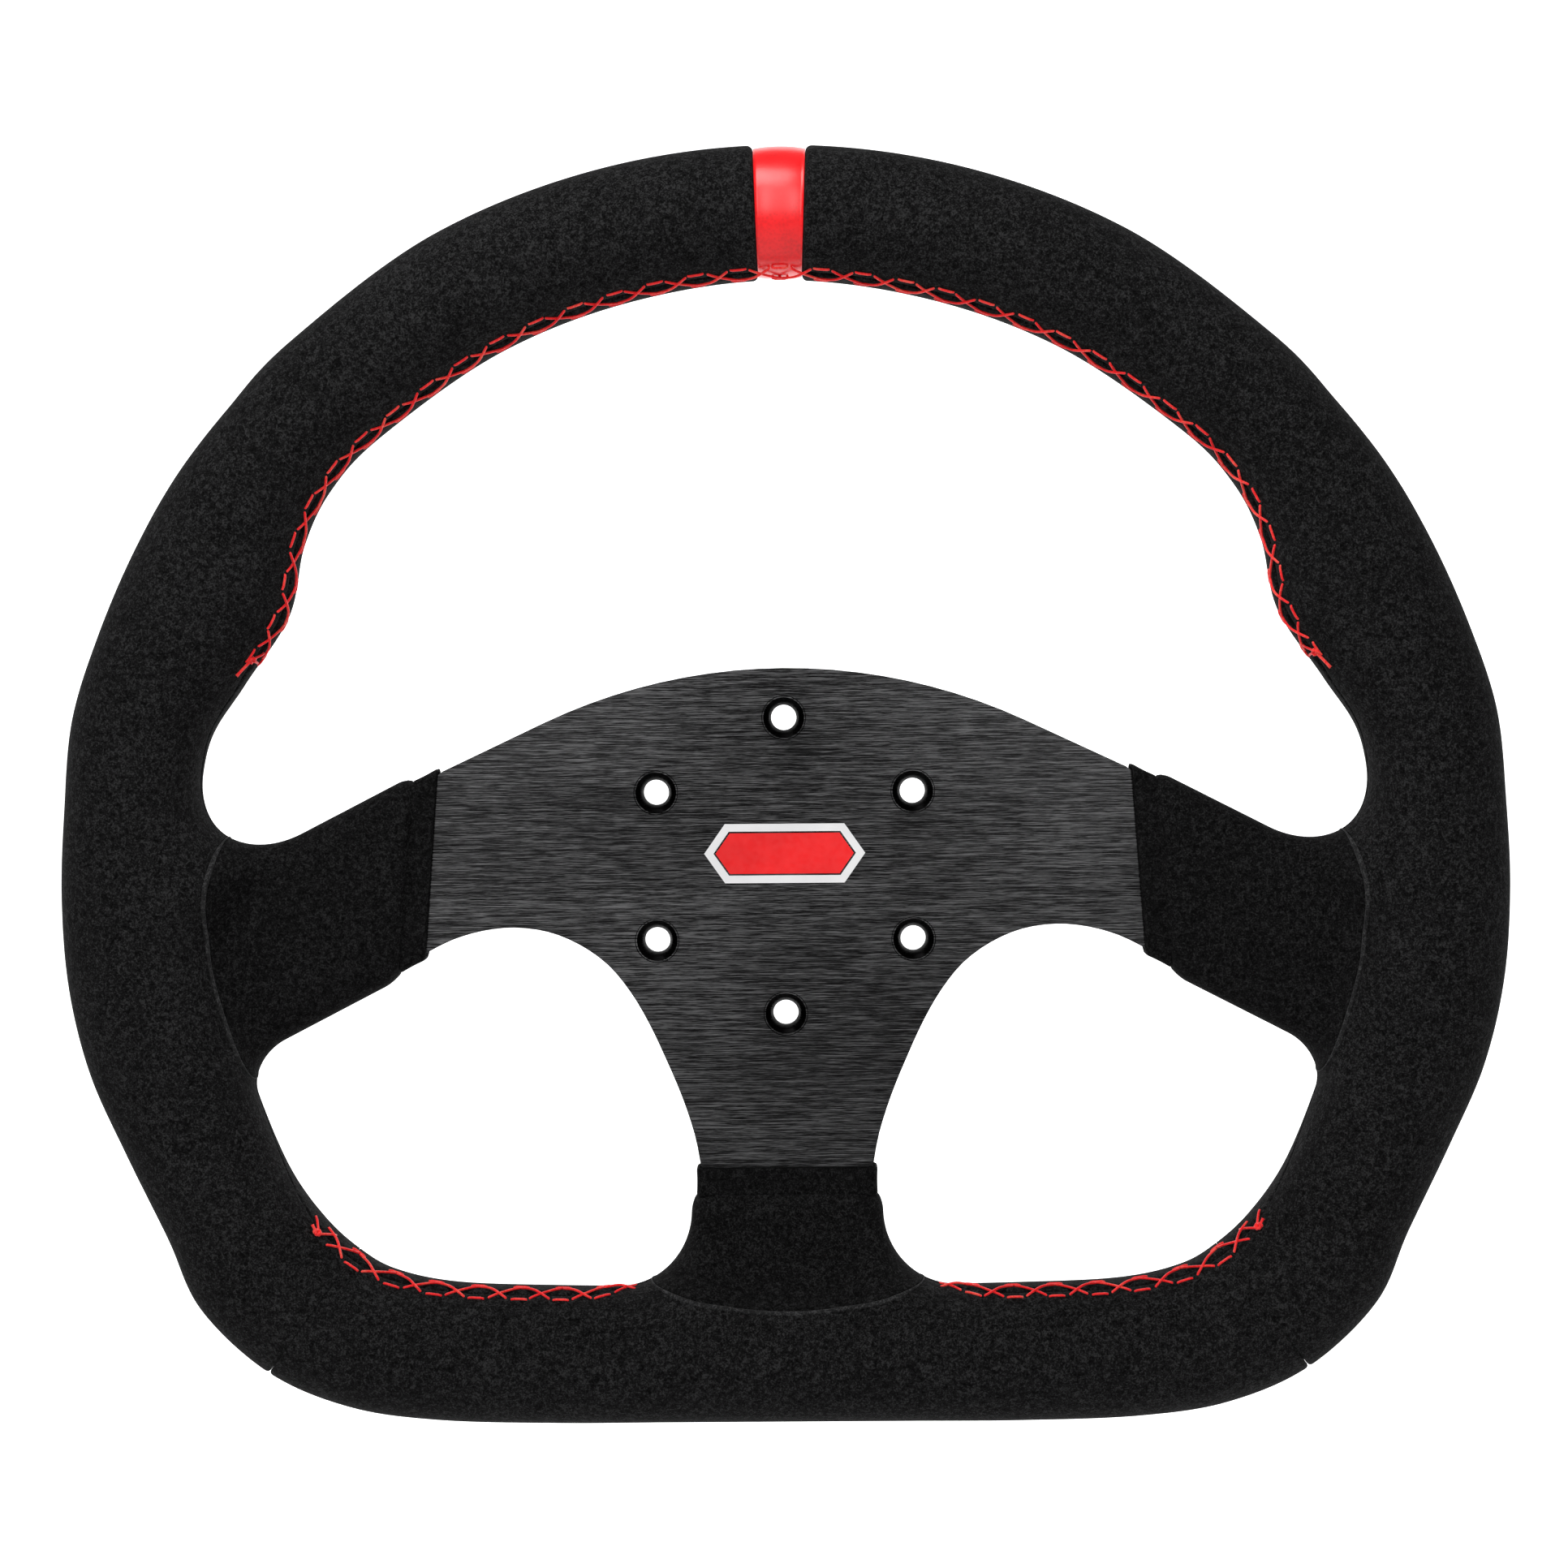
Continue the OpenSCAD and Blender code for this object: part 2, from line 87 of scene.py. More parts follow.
def polar_radius(angle, half):
    """Distance from the section's middle to the rim's surface at an angle from outward."""
    c = np.abs(np.cos(angle)) / half
    s = np.abs(np.sin(angle)) / RIM_DEEP
    return (c**SQUARE + s**SQUARE) ** (-1 / SQUARE)


def at_ray(t, angle, radius):
    """3-D points at a radius from the middle of the section at t."""
    middle, out, _ = section(t)
    q = radius * np.cos(angle)
    return np.stack((middle[..., 0] + out[..., 0] * q, RIM_Y + radius * np.sin(angle),
                     middle[..., 1] + out[..., 1] * q), axis=-1)


class RimMap:
    """Looks up, for a point (x, z), how far it lies from the rim's middle line, and the half width there."""
    X0, Z0, STEP = -6.0, -140.0, 1.0
    X1, Z1 = 180, 178
    # What the map says far inside the rim, and how far past the rim's edges it looks.
    INSIDE, LOOK = -46.0, 28

    def __init__(self):
        xs = np.arange(self.X0, self.X1, self.STEP)
        zs = np.arange(self.Z0, self.Z1, self.STEP)
        t = np.linspace(-0.4, HALF + 0.4, 1000)
        middle, out, half = section(t)
        self.q = np.full((len(xs), len(zs)), self.INSIDE)
        self.h = np.full((len(xs), len(zs)), RIM_HALF_WIDE)
        for row, x in enumerate(xs):
            dx = x - middle[:, 0]
            dz = zs[:, None] - middle[:, 1]
            along = dx * out[:, 0] + dz * out[:, 1]
            across = dx * out[:, 1] - dz * out[:, 0]
            cost = np.where(np.abs(along) < half + self.LOOK, np.abs(across), 1e6)
            k = np.clip(np.argmin(cost, axis=1), 1, len(t) - 2)
            n = np.arange(len(zs))
            found = cost[n, k] < 1.5
            here = across[n, k]
            step = np.where(here * across[n, k + 1] < 0, 1, -1)
            other = across[n, k + step]
            f = np.clip(here / np.where(np.abs(here - other) < 1e-9, 1e-9, here - other), 0, 1)
            tt = t[k] + f * step * (t[1] - t[0])
            m, o, h = section(tt)
            self.q[row, found] = ((x - m[:, 0]) * o[:, 0] + (zs - m[:, 1]) * o[:, 1])[found]
            self.h[row, found] = h[found]

    def __call__(self, x, z):
        gx = np.clip((np.abs(x) - self.X0) / self.STEP, 0, self.q.shape[0] - 1.001)
        gz = np.clip((z - self.Z0) / self.STEP, 0, self.q.shape[1] - 1.001)
        i, j = gx.astype(int), gz.astype(int)
        fx, fz = gx - i, gz - j
        weights = ((i, j, (1 - fx) * (1 - fz)), (i + 1, j, fx * (1 - fz)),
                   (i, j + 1, (1 - fx) * fz), (i + 1, j + 1, fx * fz))
        q = sum(self.q[a, b] * w for a, b, w in weights)
        h = sum(self.h[a, b] * w for a, b, w in weights)
        return q, h


RIM_MAP = RimMap()


def smooth_step(x):
    x = np.clip(x, 0, 1)
    return x * x * (3 - 2 * x)


def rim_field(p):
    """Signed distance, roughly, from the rim's surface."""
    q, h = RIM_MAP(p[..., 0], p[..., 2])
    e = np.abs(p[..., 1] - RIM_Y) / RIM_DEEP
    return FIELD_SCALE * ((np.abs(q / h) ** SQUARE + e**SQUARE) ** (1 / SQUARE) - 1)


# ---------------------------------------------------------------- the three padded arms

ARM_FALL = math.radians(27.2)
ARM_AT = np.array((84.0, 0.7))
ARM_ALONG = np.array((math.cos(ARM_FALL), -math.sin(ARM_FALL)))
ARM_ACROSS = np.array((math.sin(ARM_FALL), math.cos(ARM_FALL)))
# A side cuff ends CUFF_MIDDLE along the arm at its middle, and CUFF_SKEW less for each millimetre up the arm,
# out to SKEW_REACH.
CUFF_SKEW = 0.614
CUFF_MIDDLE = 5.85
SKEW_REACH = 21.0
# Height where the bottom cuff ends.
BOTTOM_CUFF_Z = -78.0
# How far a sleeve starts before its cuff's end, under the cuff.
TUCK = 0.4


def side_place(x, z):
    """Distance past the cuff and distance across the arm, on the right side arm."""
    dx, dz = np.abs(x) - ARM_AT[0], z - ARM_AT[1]
    s = dx * ARM_ALONG[0] + dz * ARM_ALONG[1]
    w = dx * ARM_ACROSS[0] + dz * ARM_ACROSS[1]
    return s - CUFF_MIDDLE + CUFF_SKEW * np.clip(w, -SKEW_REACH, SKEW_REACH), w


def bottom_place(x, z):
    return BOTTOM_CUFF_Z - z, x


class Arm:
    """One padded arm: its place function, widths, length to the rim and the seam at its root."""
    # Half depth and depth position beside the cuff, and what each gains on the way to the rim.
    CUFF_DEEP, GROW_DEEP = 5.6, 2.2
    CUFF_Y, GROW_Y = -2.5, -2.4
    # The step up from under the cuff: its length, and what it adds to the half width and half depth.
    STEP_LENGTH, STEP_WIDE, STEP_DEEP = 4.5, 1.4, 1.1

    def __init__(self, place, half_w, reach, fillets, seam, seam_dip, seam_half, root, span):
        self.place, self.half_w, self.reach, self.fillets = place, half_w, reach, fillets
        self.seam, self.seam_dip, self.seam_half = seam, seam_dip, seam_half
        self.root, self.span = root, span

    def sizes(self, s):
        rise = 1 - (1 - np.clip(s / self.STEP_LENGTH, 0, 1)) ** 2
        grow = smooth_step((s - 2) / self.reach)
        wide = self.half_w - self.STEP_WIDE + self.STEP_WIDE * rise
        deep = self.CUFF_DEEP + self.STEP_DEEP * rise + self.GROW_DEEP * grow
        middle = self.CUFF_Y + self.GROW_Y * grow
        return wide, deep, middle

    def field(self, p):
        s, w = self.place(p[..., 0], p[..., 2])
        wide, deep, middle = self.sizes(s)
        deep = deep * (1.03 - 0.1 * np.clip(np.abs(w) / wide, 0, 1) ** 2)
        r = 0.86 * deep
        a = np.abs(w) - (wide - r)
        b = np.abs(p[..., 1] - middle) - (deep - r)
        d = np.hypot(np.maximum(a, 0), np.maximum(b, 0)) + np.minimum(np.maximum(a, b), 0) - r
        return np.maximum(d, np.maximum(s - self.reach - 8, -s - 12))

    def fillet(self, p):
        s, w = self.place(p[..., 0], p[..., 2])
        flat, high, low = self.fillets
        beside = smooth_step((np.abs(w) - self.half_w + 14) / 14)
        short_of_rim = 1 - smooth_step((s - self.reach - 4) / 14)
        return flat + (np.where(w > 0, high, low) - flat) * beside * short_of_rim

    def seam_field(self, p):
        """Zero on the line where the arm's sleeve meets the rim's cover, positive on the rim."""
        q, h = RIM_MAP(p[..., 0], p[..., 2])
        _, w = self.place(p[..., 0], p[..., 2])
        dip = np.where(w > 0, *self.seam_dip)
        return q + h - (self.seam - dip * (w / self.seam_half) ** 2)


SIDE = Arm(side_place, 20.7, 56.0, (4.5, 23.0, 8.5), 1.0, (4.5, 1.2), 22.0, 48.15, 26.0)
BOTTOM = Arm(bottom_place, 22.8, 27.0, (4.5, 17.0, 17.0), 3.8, (5.0, 5.0), 31.0, 20.8, 30.0)


def round_union(a, b, r):
    m, n = np.maximum(r - a, 0), np.maximum(r - b, 0)
    return np.maximum(r, np.minimum(a, b)) - np.hypot(m, n)


# The fillets stop at a soft plane just behind the rim, so that they don't hump past its back.
BACK_Y = 5.4
BACK_SOFT = 3.0


def body_field(p):
    f = rim_field(p)
    for arm in (SIDE, BOTTOM):
        f = round_union(f, arm.field(p), arm.fillet(p))
    behind = p[..., 1] - BACK_Y
    near = np.maximum(BACK_SOFT - np.abs(f - behind), 0)
    return np.maximum(f, behind) + near**2 / (4 * BACK_SOFT)


def gradient(field, p, step=0.06):
    g = np.empty(p.shape)
    for k in range(3):
        d = np.zeros(3)
        d[k] = step
        g[..., k] = (field(p + d) - field(p - d)) / (2 * step)
    return g


def settle(p, rounds=8, most=2.0):
    """Moves points onto the body's surface."""
    for _ in range(rounds):
        f, g = body_field(p), gradient(body_field, p)
        move = -f[..., None] * g / np.maximum((g * g).sum(-1, keepdims=True), 0.05)
        size = np.linalg.norm(move, axis=-1, keepdims=True)
        p = p + move * np.minimum(1, most / np.maximum(size, 1e-9))
    return p


def settle_on_line(p, other, rounds=16, most=2.0):
    """Moves points onto the line where the body's surface meets another field's zero."""
    for _ in range(rounds):
        f, s = body_field(p), other(p)
        g, h = gradient(body_field, p), gradient(other, p)
        gg, hh, gh = (g * g).sum(-1), (h * h).sum(-1), (g * h).sum(-1)
        det = np.maximum(gg * hh - gh * gh, 0.02)
        a, b = (f * hh - s * gh) / det, (s * gg - f * gh) / det
        move = -(a[..., None] * g + b[..., None] * h)
        size = np.linalg.norm(move, axis=-1, keepdims=True)
        p = p + move * np.minimum(1, most / np.maximum(size, 1e-9))
    return p


def resample_loop(p, count):
    """Evenly spaced points round a closed line, starting at its first point."""
    closed = np.vstack((p, p[:1]))
    d = np.r_[0, np.cumsum(np.linalg.norm(np.diff(closed, axis=0), axis=1))]
    at = np.linspace(0, d[-1], count, endpoint=False)
    return np.stack([np.interp(at, d, closed[:, k]) for k in range(3)], axis=1)


# ---------------------------------------------------------------- meshes

def unit(v):
    return v / np.maximum(np.linalg.norm(v, axis=-1, keepdims=True), 1e-12)


def grid_faces(rows, cols, wrap_rows=False, wrap_cols=False, start=0):
    i = np.arange(rows if wrap_rows else rows - 1)
    j = np.arange(cols if wrap_cols else cols - 1)
    i, j = np.meshgrid(i, j, indexing="ij")
    i2, j2 = (i + 1) % rows, (j + 1) % cols
    quads = np.stack((i * cols + j, i * cols + j2, i2 * cols + j2, i2 * cols + j), axis=-1)
    return quads.reshape(-1, 4) + start


def shell(outer, inner, wrap_cols=False):
    """A closed solid between two grids of the same shape."""
    rows, cols = outer.shape[:2]
    n = rows * cols
    points = np.vstack((outer.reshape(-1, 3), inner.reshape(-1, 3)))
    faces = [grid_faces(rows, cols, wrap_cols=wrap_cols),
             grid_faces(rows, cols, wrap_cols=wrap_cols, start=n)[:, ::-1]]
    index = np.arange(n).reshape(rows, cols)
    lines = [index[0, ::-1], index[-1]]
    if not wrap_cols:
        lines += [index[:, 0], index[::-1, -1]]
    for line in lines:
        a, b = (line, np.roll(line, -1)) if wrap_cols else (line[:-1], line[1:])
        faces.append(np.stack((b, a, a + n, b + n), axis=-1))
    return points, np.vstack(faces)


def signed_volume(points, faces):
    a, b, c, d = (points[faces[:, k]] for k in range(4))
    return (np.einsum("ij,ij->i", a, np.cross(b, c)) + np.einsum("ij,ij->i", a, np.cross(c, d))).sum() / 6


def mirror_x(points):
    return points * np.array((-1.0, 1.0, 1.0))


def make_piece(name, points, faces, material, stands_for=()):
    """A mesh piece in metres that rides on the one body."""
    faces = np.asarray(faces)
    if faces.shape[1] == 4 and signed_volume(points, faces) < 0:
        faces = faces[:, ::-1]
    mesh = bpy.data.meshes.new(name)
    mesh.from_pydata((points * MM).tolist(), [], faces.tolist())
    mesh.validate()
    mesh.materials.append(material)
    mesh.shade_smooth()
    piece = bpy.data.objects.new(name, mesh)
    bpy.context.scene.collection.objects.link(piece)
    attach(piece, ROOT)
    if stands_for:
        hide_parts(*stands_for)
    return piece


def tube(points, radius, sides=8):
    """Points and quads of a closed tube along a line; radius is one number or one a point."""
    radius = np.broadcast_to(np.asarray(radius, float), (len(points),))
    along = unit(np.gradient(points, axis=0))
    side = np.cross(along[0], (0.0, 1.0, 0.0))
    if np.linalg.norm(side) < 0.2:
        side = np.cross(along[0], (1.0, 0.0, 0.0))
    rings = []
    for p, d, r in zip(points, along, radius):
        side = unit(side - d * (side @ d))
        up = np.cross(d, side)
        a = np.arange(sides) * 2 * math.pi / sides
        rings.append(p + r * (np.cos(a)[:, None] * side + np.sin(a)[:, None] * up))
    rings.insert(0, np.repeat(points[:1], sides, axis=0) + (rings[0] - points[0]) * 0.3)
    rings.append(np.repeat(points[-1:], sides, axis=0) + (rings[-1] - points[-1]) * 0.3)
    flat = np.vstack(rings)
    count = len(rings)
    faces = grid_faces(count, sides, wrap_cols=True)
    caps = [[0, k + 1, k + 2, k + 3] for k in range(0, sides - 3, 2)]
    last = (count - 1) * sides
    ends = [[f[0], f[3], f[2], f[1]] for f in caps] + [[last + i for i in f] for f in caps]
    return flat, np.vstack((faces, np.array(ends)))


def join(parts):
    points, faces, start = [], [], 0
    for p, f in parts:
        if signed_volume(p, f) < 0:
            f = f[:, ::-1]
        points.append(p)
        faces.append(f + start)
        start += len(p)
    return np.vstack(points), np.vstack(faces)


# ---------------------------------------------------------------- materials

class Paint:
    """A Principled material with small helpers for its nodes."""

    def __init__(self, name, **sockets):
        self.material = bpy.data.materials.new(name)
        self.material.use_nodes = True
        self.tree = self.material.node_tree
        self.shader = self.tree.nodes["Principled BSDF"]
        self.place = self.node("ShaderNodeTexCoord").outputs["Object"]
        for socket, value in sockets.items():
            self.shader.inputs[socket.replace("_", " ")].default_value = value

    def node(self, kind, **settings):
        n = self.tree.nodes.new(kind)
        for key, value in settings.items():
            setattr(n, key, value)
        return n

    def link(self, a, b):
        self.tree.links.new(a, b)

    def stretched(self, scale):
        m = self.node("ShaderNodeMapping")
        m.inputs["Scale"].default_value = scale
        self.link(self.place, m.inputs["Vector"])
        return m.outputs["Vector"]

    def noise(self, scale, detail=2.0, rough=0.5, vector=None, distortion=0.0):
        n = self.node("ShaderNodeTexNoise")
        n.inputs["Scale"].default_value = scale
        n.inputs["Detail"].default_value = detail
        n.inputs["Roughness"].default_value = rough
        n.inputs["Distortion"].default_value = distortion
        self.link(vector or self.place, n.inputs["Vector"])
        return n.outputs["Fac"]

    def math(self, operation, a, b):
        n = self.node("ShaderNodeMath", operation=operation)
        for socket, value in zip(n.inputs, (a, b)):
            if isinstance(value, (int, float)):
                socket.default_value = value
            else:
                self.link(value, socket)
        return n.outputs[0]

    def span(self, value, low, high, to_low=0.0, to_high=1.0):
        n = self.node("ShaderNodeMapRange")
        for socket, v in zip(("From Min", "From Max", "To Min", "To Max"), (low, high, to_low, to_high)):
            n.inputs[socket].default_value = v
        self.link(value, n.inputs["Value"])
        return n.outputs["Result"]

    def ramp(self, value, *stops):
        n = self.node("ShaderNodeValToRGB")
        elements = n.color_ramp.elements
        while len(elements) < len(stops):
            elements.new(0.5)
        for element, (at, colour) in zip(elements, stops):
            element.position = at
            element.color = (*colour, 1)
        self.link(value, n.inputs["Fac"])
        return n.outputs["Color"]

    def set(self, socket, output):
        self.link(output, self.shader.inputs[socket])

    def bump(self, height, distance, strength=1.0, after=None):
        n = self.node("ShaderNodeBump")
        n.inputs["Distance"].default_value = distance
        n.inputs["Strength"].default_value = strength
        self.link(height, n.inputs["Height"])
        if after is not None:
            self.link(after, n.inputs["Normal"])
        return n.outputs["Normal"]


def grey(v):
    return (v, v, v * 1.02)


def suede(name, dark, light, sheen):
    """Black suede: cloudy patches where the nap lies differently, over a grain of fine fibres."""
    p = Paint(name, Roughness=0.95, Specular_IOR_Level=0.06, Sheen_Weight=sheen, Sheen_Roughness=0.45)
    p.shader.inputs["Sheen Tint"].default_value = (0.6, 0.6, 0.62, 1)
    grain = p.noise(2600, 3.0, 0.7)
    fibre = p.noise(900, 2.0, 0.6, distortion=0.6)
    patch = p.noise(110, 3.0, 0.6, distortion=0.8)
    cloud = p.noise(24, 2.0, 0.5)
    mix = p.math("ADD", p.math("MULTIPLY", grain, 0.6), p.math("MULTIPLY", fibre, 0.4))
    slow = p.math("ADD", p.math("MULTIPLY", patch, 0.6), p.math("MULTIPLY", cloud, 0.4))
    tone = p.math("ADD", p.math("MULTIPLY", mix, 0.9), p.math("MULTIPLY", slow, 0.1))
    p.set("Base Color", p.ramp(tone, (0.4, grey(dark)), (0.5, grey((dark + light) / 4)), (0.6, grey(light))))
    p.set("Roughness", p.span(slow, 0.3, 0.7, 0.86, 1.0))
    first = p.bump(mix, 0.0003, 0.8)
    p.set("Normal", p.bump(slow, 0.0008, 0.3, first))
    return p.material


def brushed(name, dark, light, rough, painted_shade_tone):
    """Black metal brushed along X: fine scratches of different length, and painted shade on the edges,
    countersinks and hole walls.
    """
    p = Paint(name, Metallic=1.0, Anisotropic=0.75, Anisotropic_Rotation=0.25)
    fine = p.noise(1.0, 2.0, 0.7, p.stretched((260, 900, 8500)))
    long = p.noise(1.0, 2.0, 0.65, p.stretched((100, 500, 5200)))
    broad = p.noise(16, 2.0, 0.5, p.stretched((0.8, 1, 1.6)))
    streak = p.math("ADD", p.math("MULTIPLY", fine, 0.55), p.math("MULTIPLY", long, 0.45))
    tone = p.math("ADD", p.math("MULTIPLY", streak, 0.85), p.math("MULTIPLY", broad, 0.15))
    # Faces turned away from front and back (the bevelled edges, countersinks and hole walls) take the
    # near-black tone given last: painted shade on them.
    facing = p.node("ShaderNodeSeparateXYZ")
    p.link(p.node("ShaderNodeNewGeometry").outputs["True Normal"], facing.inputs[0])
    face = p.span(p.math("ABSOLUTE", facing.outputs["Y"], 0), 0.9, 0.95)
    brushing = p.ramp(tone, (0.4, grey(dark)), (0.5, grey(dark * 0.8 + light * 0.2)), (0.6, grey(light)))
    mix = p.node("ShaderNodeMix", data_type="RGBA")
    p.link(face, mix.inputs["Factor"])
    mix.inputs["A"].default_value = (*grey(painted_shade_tone), 1)
    p.link(brushing, mix.inputs["B"])
    p.set("Base Color", mix.outputs["Result"])
    p.set("Roughness", p.span(streak, 0.35, 0.65, rough - 0.06, rough + 0.12))
    p.set("Normal", p.bump(streak, 0.00006, 0.45))
    return p.material


def plain_steel(name, dark, light, rough):
    """Drawn or plated steel: faint lines and a cloudy finish."""
    p = Paint(name, Metallic=1.0)
    cloud = p.noise(60, 3.0, 0.6)
    line = p.noise(1.0, 2.0, 0.6, p.stretched((400, 60, 400)))
    tone = p.math("ADD", p.math("MULTIPLY", cloud, 0.6), p.math("MULTIPLY", line, 0.4))
    p.set("Base Color", p.ramp(tone, (0.35, grey(dark)), (0.65, grey(light))))
    p.set("Roughness", p.span(tone, 0.3, 0.7, rough - 0.06, rough + 0.12))
    p.set("Normal", p.bump(tone, 0.00005, 0.4))
    return p.material


def foam(name):
    """Moulded foam: a matt skin full of small cells."""
    p = Paint(name, Roughness=0.9, Specular_IOR_Level=0.2)
    cells = p.node("ShaderNodeTexVoronoi")
    cells.inputs["Scale"].default_value = 900
    p.link(p.place, cells.inputs["Vector"])
    tone = p.math("ADD", p.math("MULTIPLY", cells.outputs["Distance"], 0.6),
                  p.math("MULTIPLY", p.noise(120), 0.4))
    p.set("Base Color", p.ramp(tone, (0.3, grey(0.004)), (0.7, grey(0.014))))
    p.set("Normal", p.bump(cells.outputs["Distance"], 0.0003, 0.6))
    return p.material


def red_leather(name):
    """Glossy coated leather with a fine pebbled grain."""
    p = Paint(name, Coat_Weight=0.9, Coat_Roughness=0.3, Specular_IOR_Level=0.2)
    pebble = p.node("ShaderNodeTexVoronoi", feature="SMOOTH_F1")
    pebble.inputs["Scale"].default_value = 1500
    p.link(p.place, pebble.inputs["Vector"])
    cloud = p.noise(180, 3.0, 0.6)
    tone = p.math("ADD", p.math("MULTIPLY", pebble.outputs["Distance"], 0.4), p.math("MULTIPLY", cloud, 0.6))
    p.set("Base Color", p.ramp(tone, (0.3, (0.8, 0.001, 0.004)), (0.55, (0.98, 0.002, 0.006)),
                               (0.75, (1.0, 0.01, 0.012))))
    p.set("Roughness", p.span(cloud, 0.3, 0.7, 0.3, 0.46))
    p.set("Normal", p.bump(pebble.outputs["Distance"], 0.00006, 0.35))
    return p.material


def red_thread(name):
    """Waxed twisted thread: a painted highlight on pale ridges and painted shade in darker valleys along its
    length.
    """
    p = Paint(name, Roughness=0.55, Sheen_Weight=0.3, Sheen_Roughness=0.4, Specular_IOR_Level=0.35)
    twist = p.noise(2300, 2.0, 0.6)
    highlight_patches = p.noise(160, 2.0, 0.5)
    tone = p.math("ADD", p.math("MULTIPLY", twist, 0.5), p.math("MULTIPLY", highlight_patches, 0.5))
    # The colour runs from deep red to pale orange-pink with the twist and the slow patches: the pale end is a
    # painted highlight and the darkest end painted shade.
    p.set("Base Color", p.ramp(tone, (0.34, (0.75, 0.001, 0.004)), (0.5, (1.0, 0.006, 0.01)),
                               (0.66, (1.0, 0.12, 0.08))))
    p.set("Normal", p.bump(twist, 0.00012, 0.8))
    return p.material


def gloss_film(name, low, high):
    """A printed film under clear gloss, with a faint orange peel."""
    p = Paint(name, Coat_Weight=0.4, Coat_Roughness=0.12)
    peel = p.noise(700, 2.0, 0.5)
    p.set("Base Color", p.ramp(p.noise(90, 2.0, 0.5), (0.35, low), (0.65, high)))
    p.set("Roughness", p.span(peel, 0.35, 0.65, 0.28, 0.38))
    p.set("Normal", p.bump(peel, 0.00002, 0.3))
    return p.material


RIM_SUEDE = suede("rim_suede", 0.001, 0.03, 0.03)
SLEEVE_SUEDE = suede("sleeve_suede", 0.0008, 0.02, 0.02)
CUFF_SUEDE = suede("cuff_suede", 0.0008, 0.017, 0.015)
# The seam's suede is a lighter copy with more sheen: a painted highlight along the raised seam.
SEAM_HIGHLIGHT_SUEDE = suede("seam_highlight_suede", 0.012, 0.06, 0.12)
# The last number is the near-black painted shade on the plate's edges, countersinks and hole walls.
PLATE = brushed("plate_black", 0.008, 0.12, 0.25, 0.004)
BAND = red_leather("band_leather")
THREAD = red_thread("red_thread")
FOAM = foam("grip_foam")
NODE_PAINTS = {
    "rim_hoop": plain_steel("hoop_steel", 0.3, 0.5, 0.38),
    "hoop_spigot": plain_steel("spigot_steel", 0.28, 0.45, 0.3),
    "left_arm_lug": plain_steel("lug_steel", 0.4, 0.6, 0.42),
    "arm_rivets": plain_steel("rivet_aluminium", 0.6, 0.78, 0.35),
    "badge_red": gloss_film("badge_red", (0.85, 0.002, 0.004), (1.0, 0.005, 0.007)),
    "badge_white": gloss_film("badge_white", (0.84, 0.84, 0.85), (0.92, 0.92, 0.92)),
}
NODE_PAINTS["right_arm_lug"] = NODE_PAINTS["left_arm_lug"]
NODE_PAINTS["bottom_arm_lug"] = NODE_PAINTS["left_arm_lug"]

# ---------------------------------------------------------------- sleeves

def start_ring(arm, count):
    """The ring where a sleeve comes out from under its cuff."""
    a = np.linspace(0, 2 * math.pi, 240, endpoint=False)
    wide, deep, middle = arm.sizes(np.array(0.0))
    w = wide * np.sign(np.cos(a)) * np.abs(np.cos(a)) ** 0.5
    y = middle + deep * np.sign(np.sin(a)) * np.abs(np.sin(a)) ** 0.5
    p = arm_points(arm, np.full(len(a), -TUCK), w, y)
    return settle_edge(arm, resample_loop(p, count))


def arm_points(arm, s, w, y):
    """3-D points at a distance past the cuff, a distance across and a depth."""
    if arm is BOTTOM:
        return np.stack((w, y, BOTTOM_CUFF_Z - s), axis=-1)
    along = s + CUFF_MIDDLE - CUFF_SKEW * np.clip(w, -SKEW_REACH, SKEW_REACH)
    flat = ARM_AT + along[..., None] * ARM_ALONG + w[..., None] * ARM_ACROSS
    return np.stack((flat[..., 0], y, flat[..., 1]), axis=-1)


def settle_edge(arm, p):
    return settle_on_line(p, lambda q: arm.place(q[..., 0], q[..., 2])[0] + TUCK)


def seam_loop(arm, count):
    """The closed line where a sleeve meets the rim's cover."""
    a = np.linspace(0, 2 * math.pi, 360, endpoint=False)
    w = arm.span * np.cos(a)
    y = -5.0 + 11 * np.sin(a)
    p = arm_points(arm, np.full(len(a), arm.root), w, y)
    p = settle_on_line(p, arm.seam_field, 30)
    p = resample_loop(p, count)
    return settle_on_line(p, arm.seam_field, 6)


def hem_sink(distance, radius):
    """How far a turned edge falls away at a distance from its end."""
    d = np.clip(distance, 0, radius)
    return radius - np.sqrt(np.maximum(radius**2 - (radius - d) ** 2, 0))


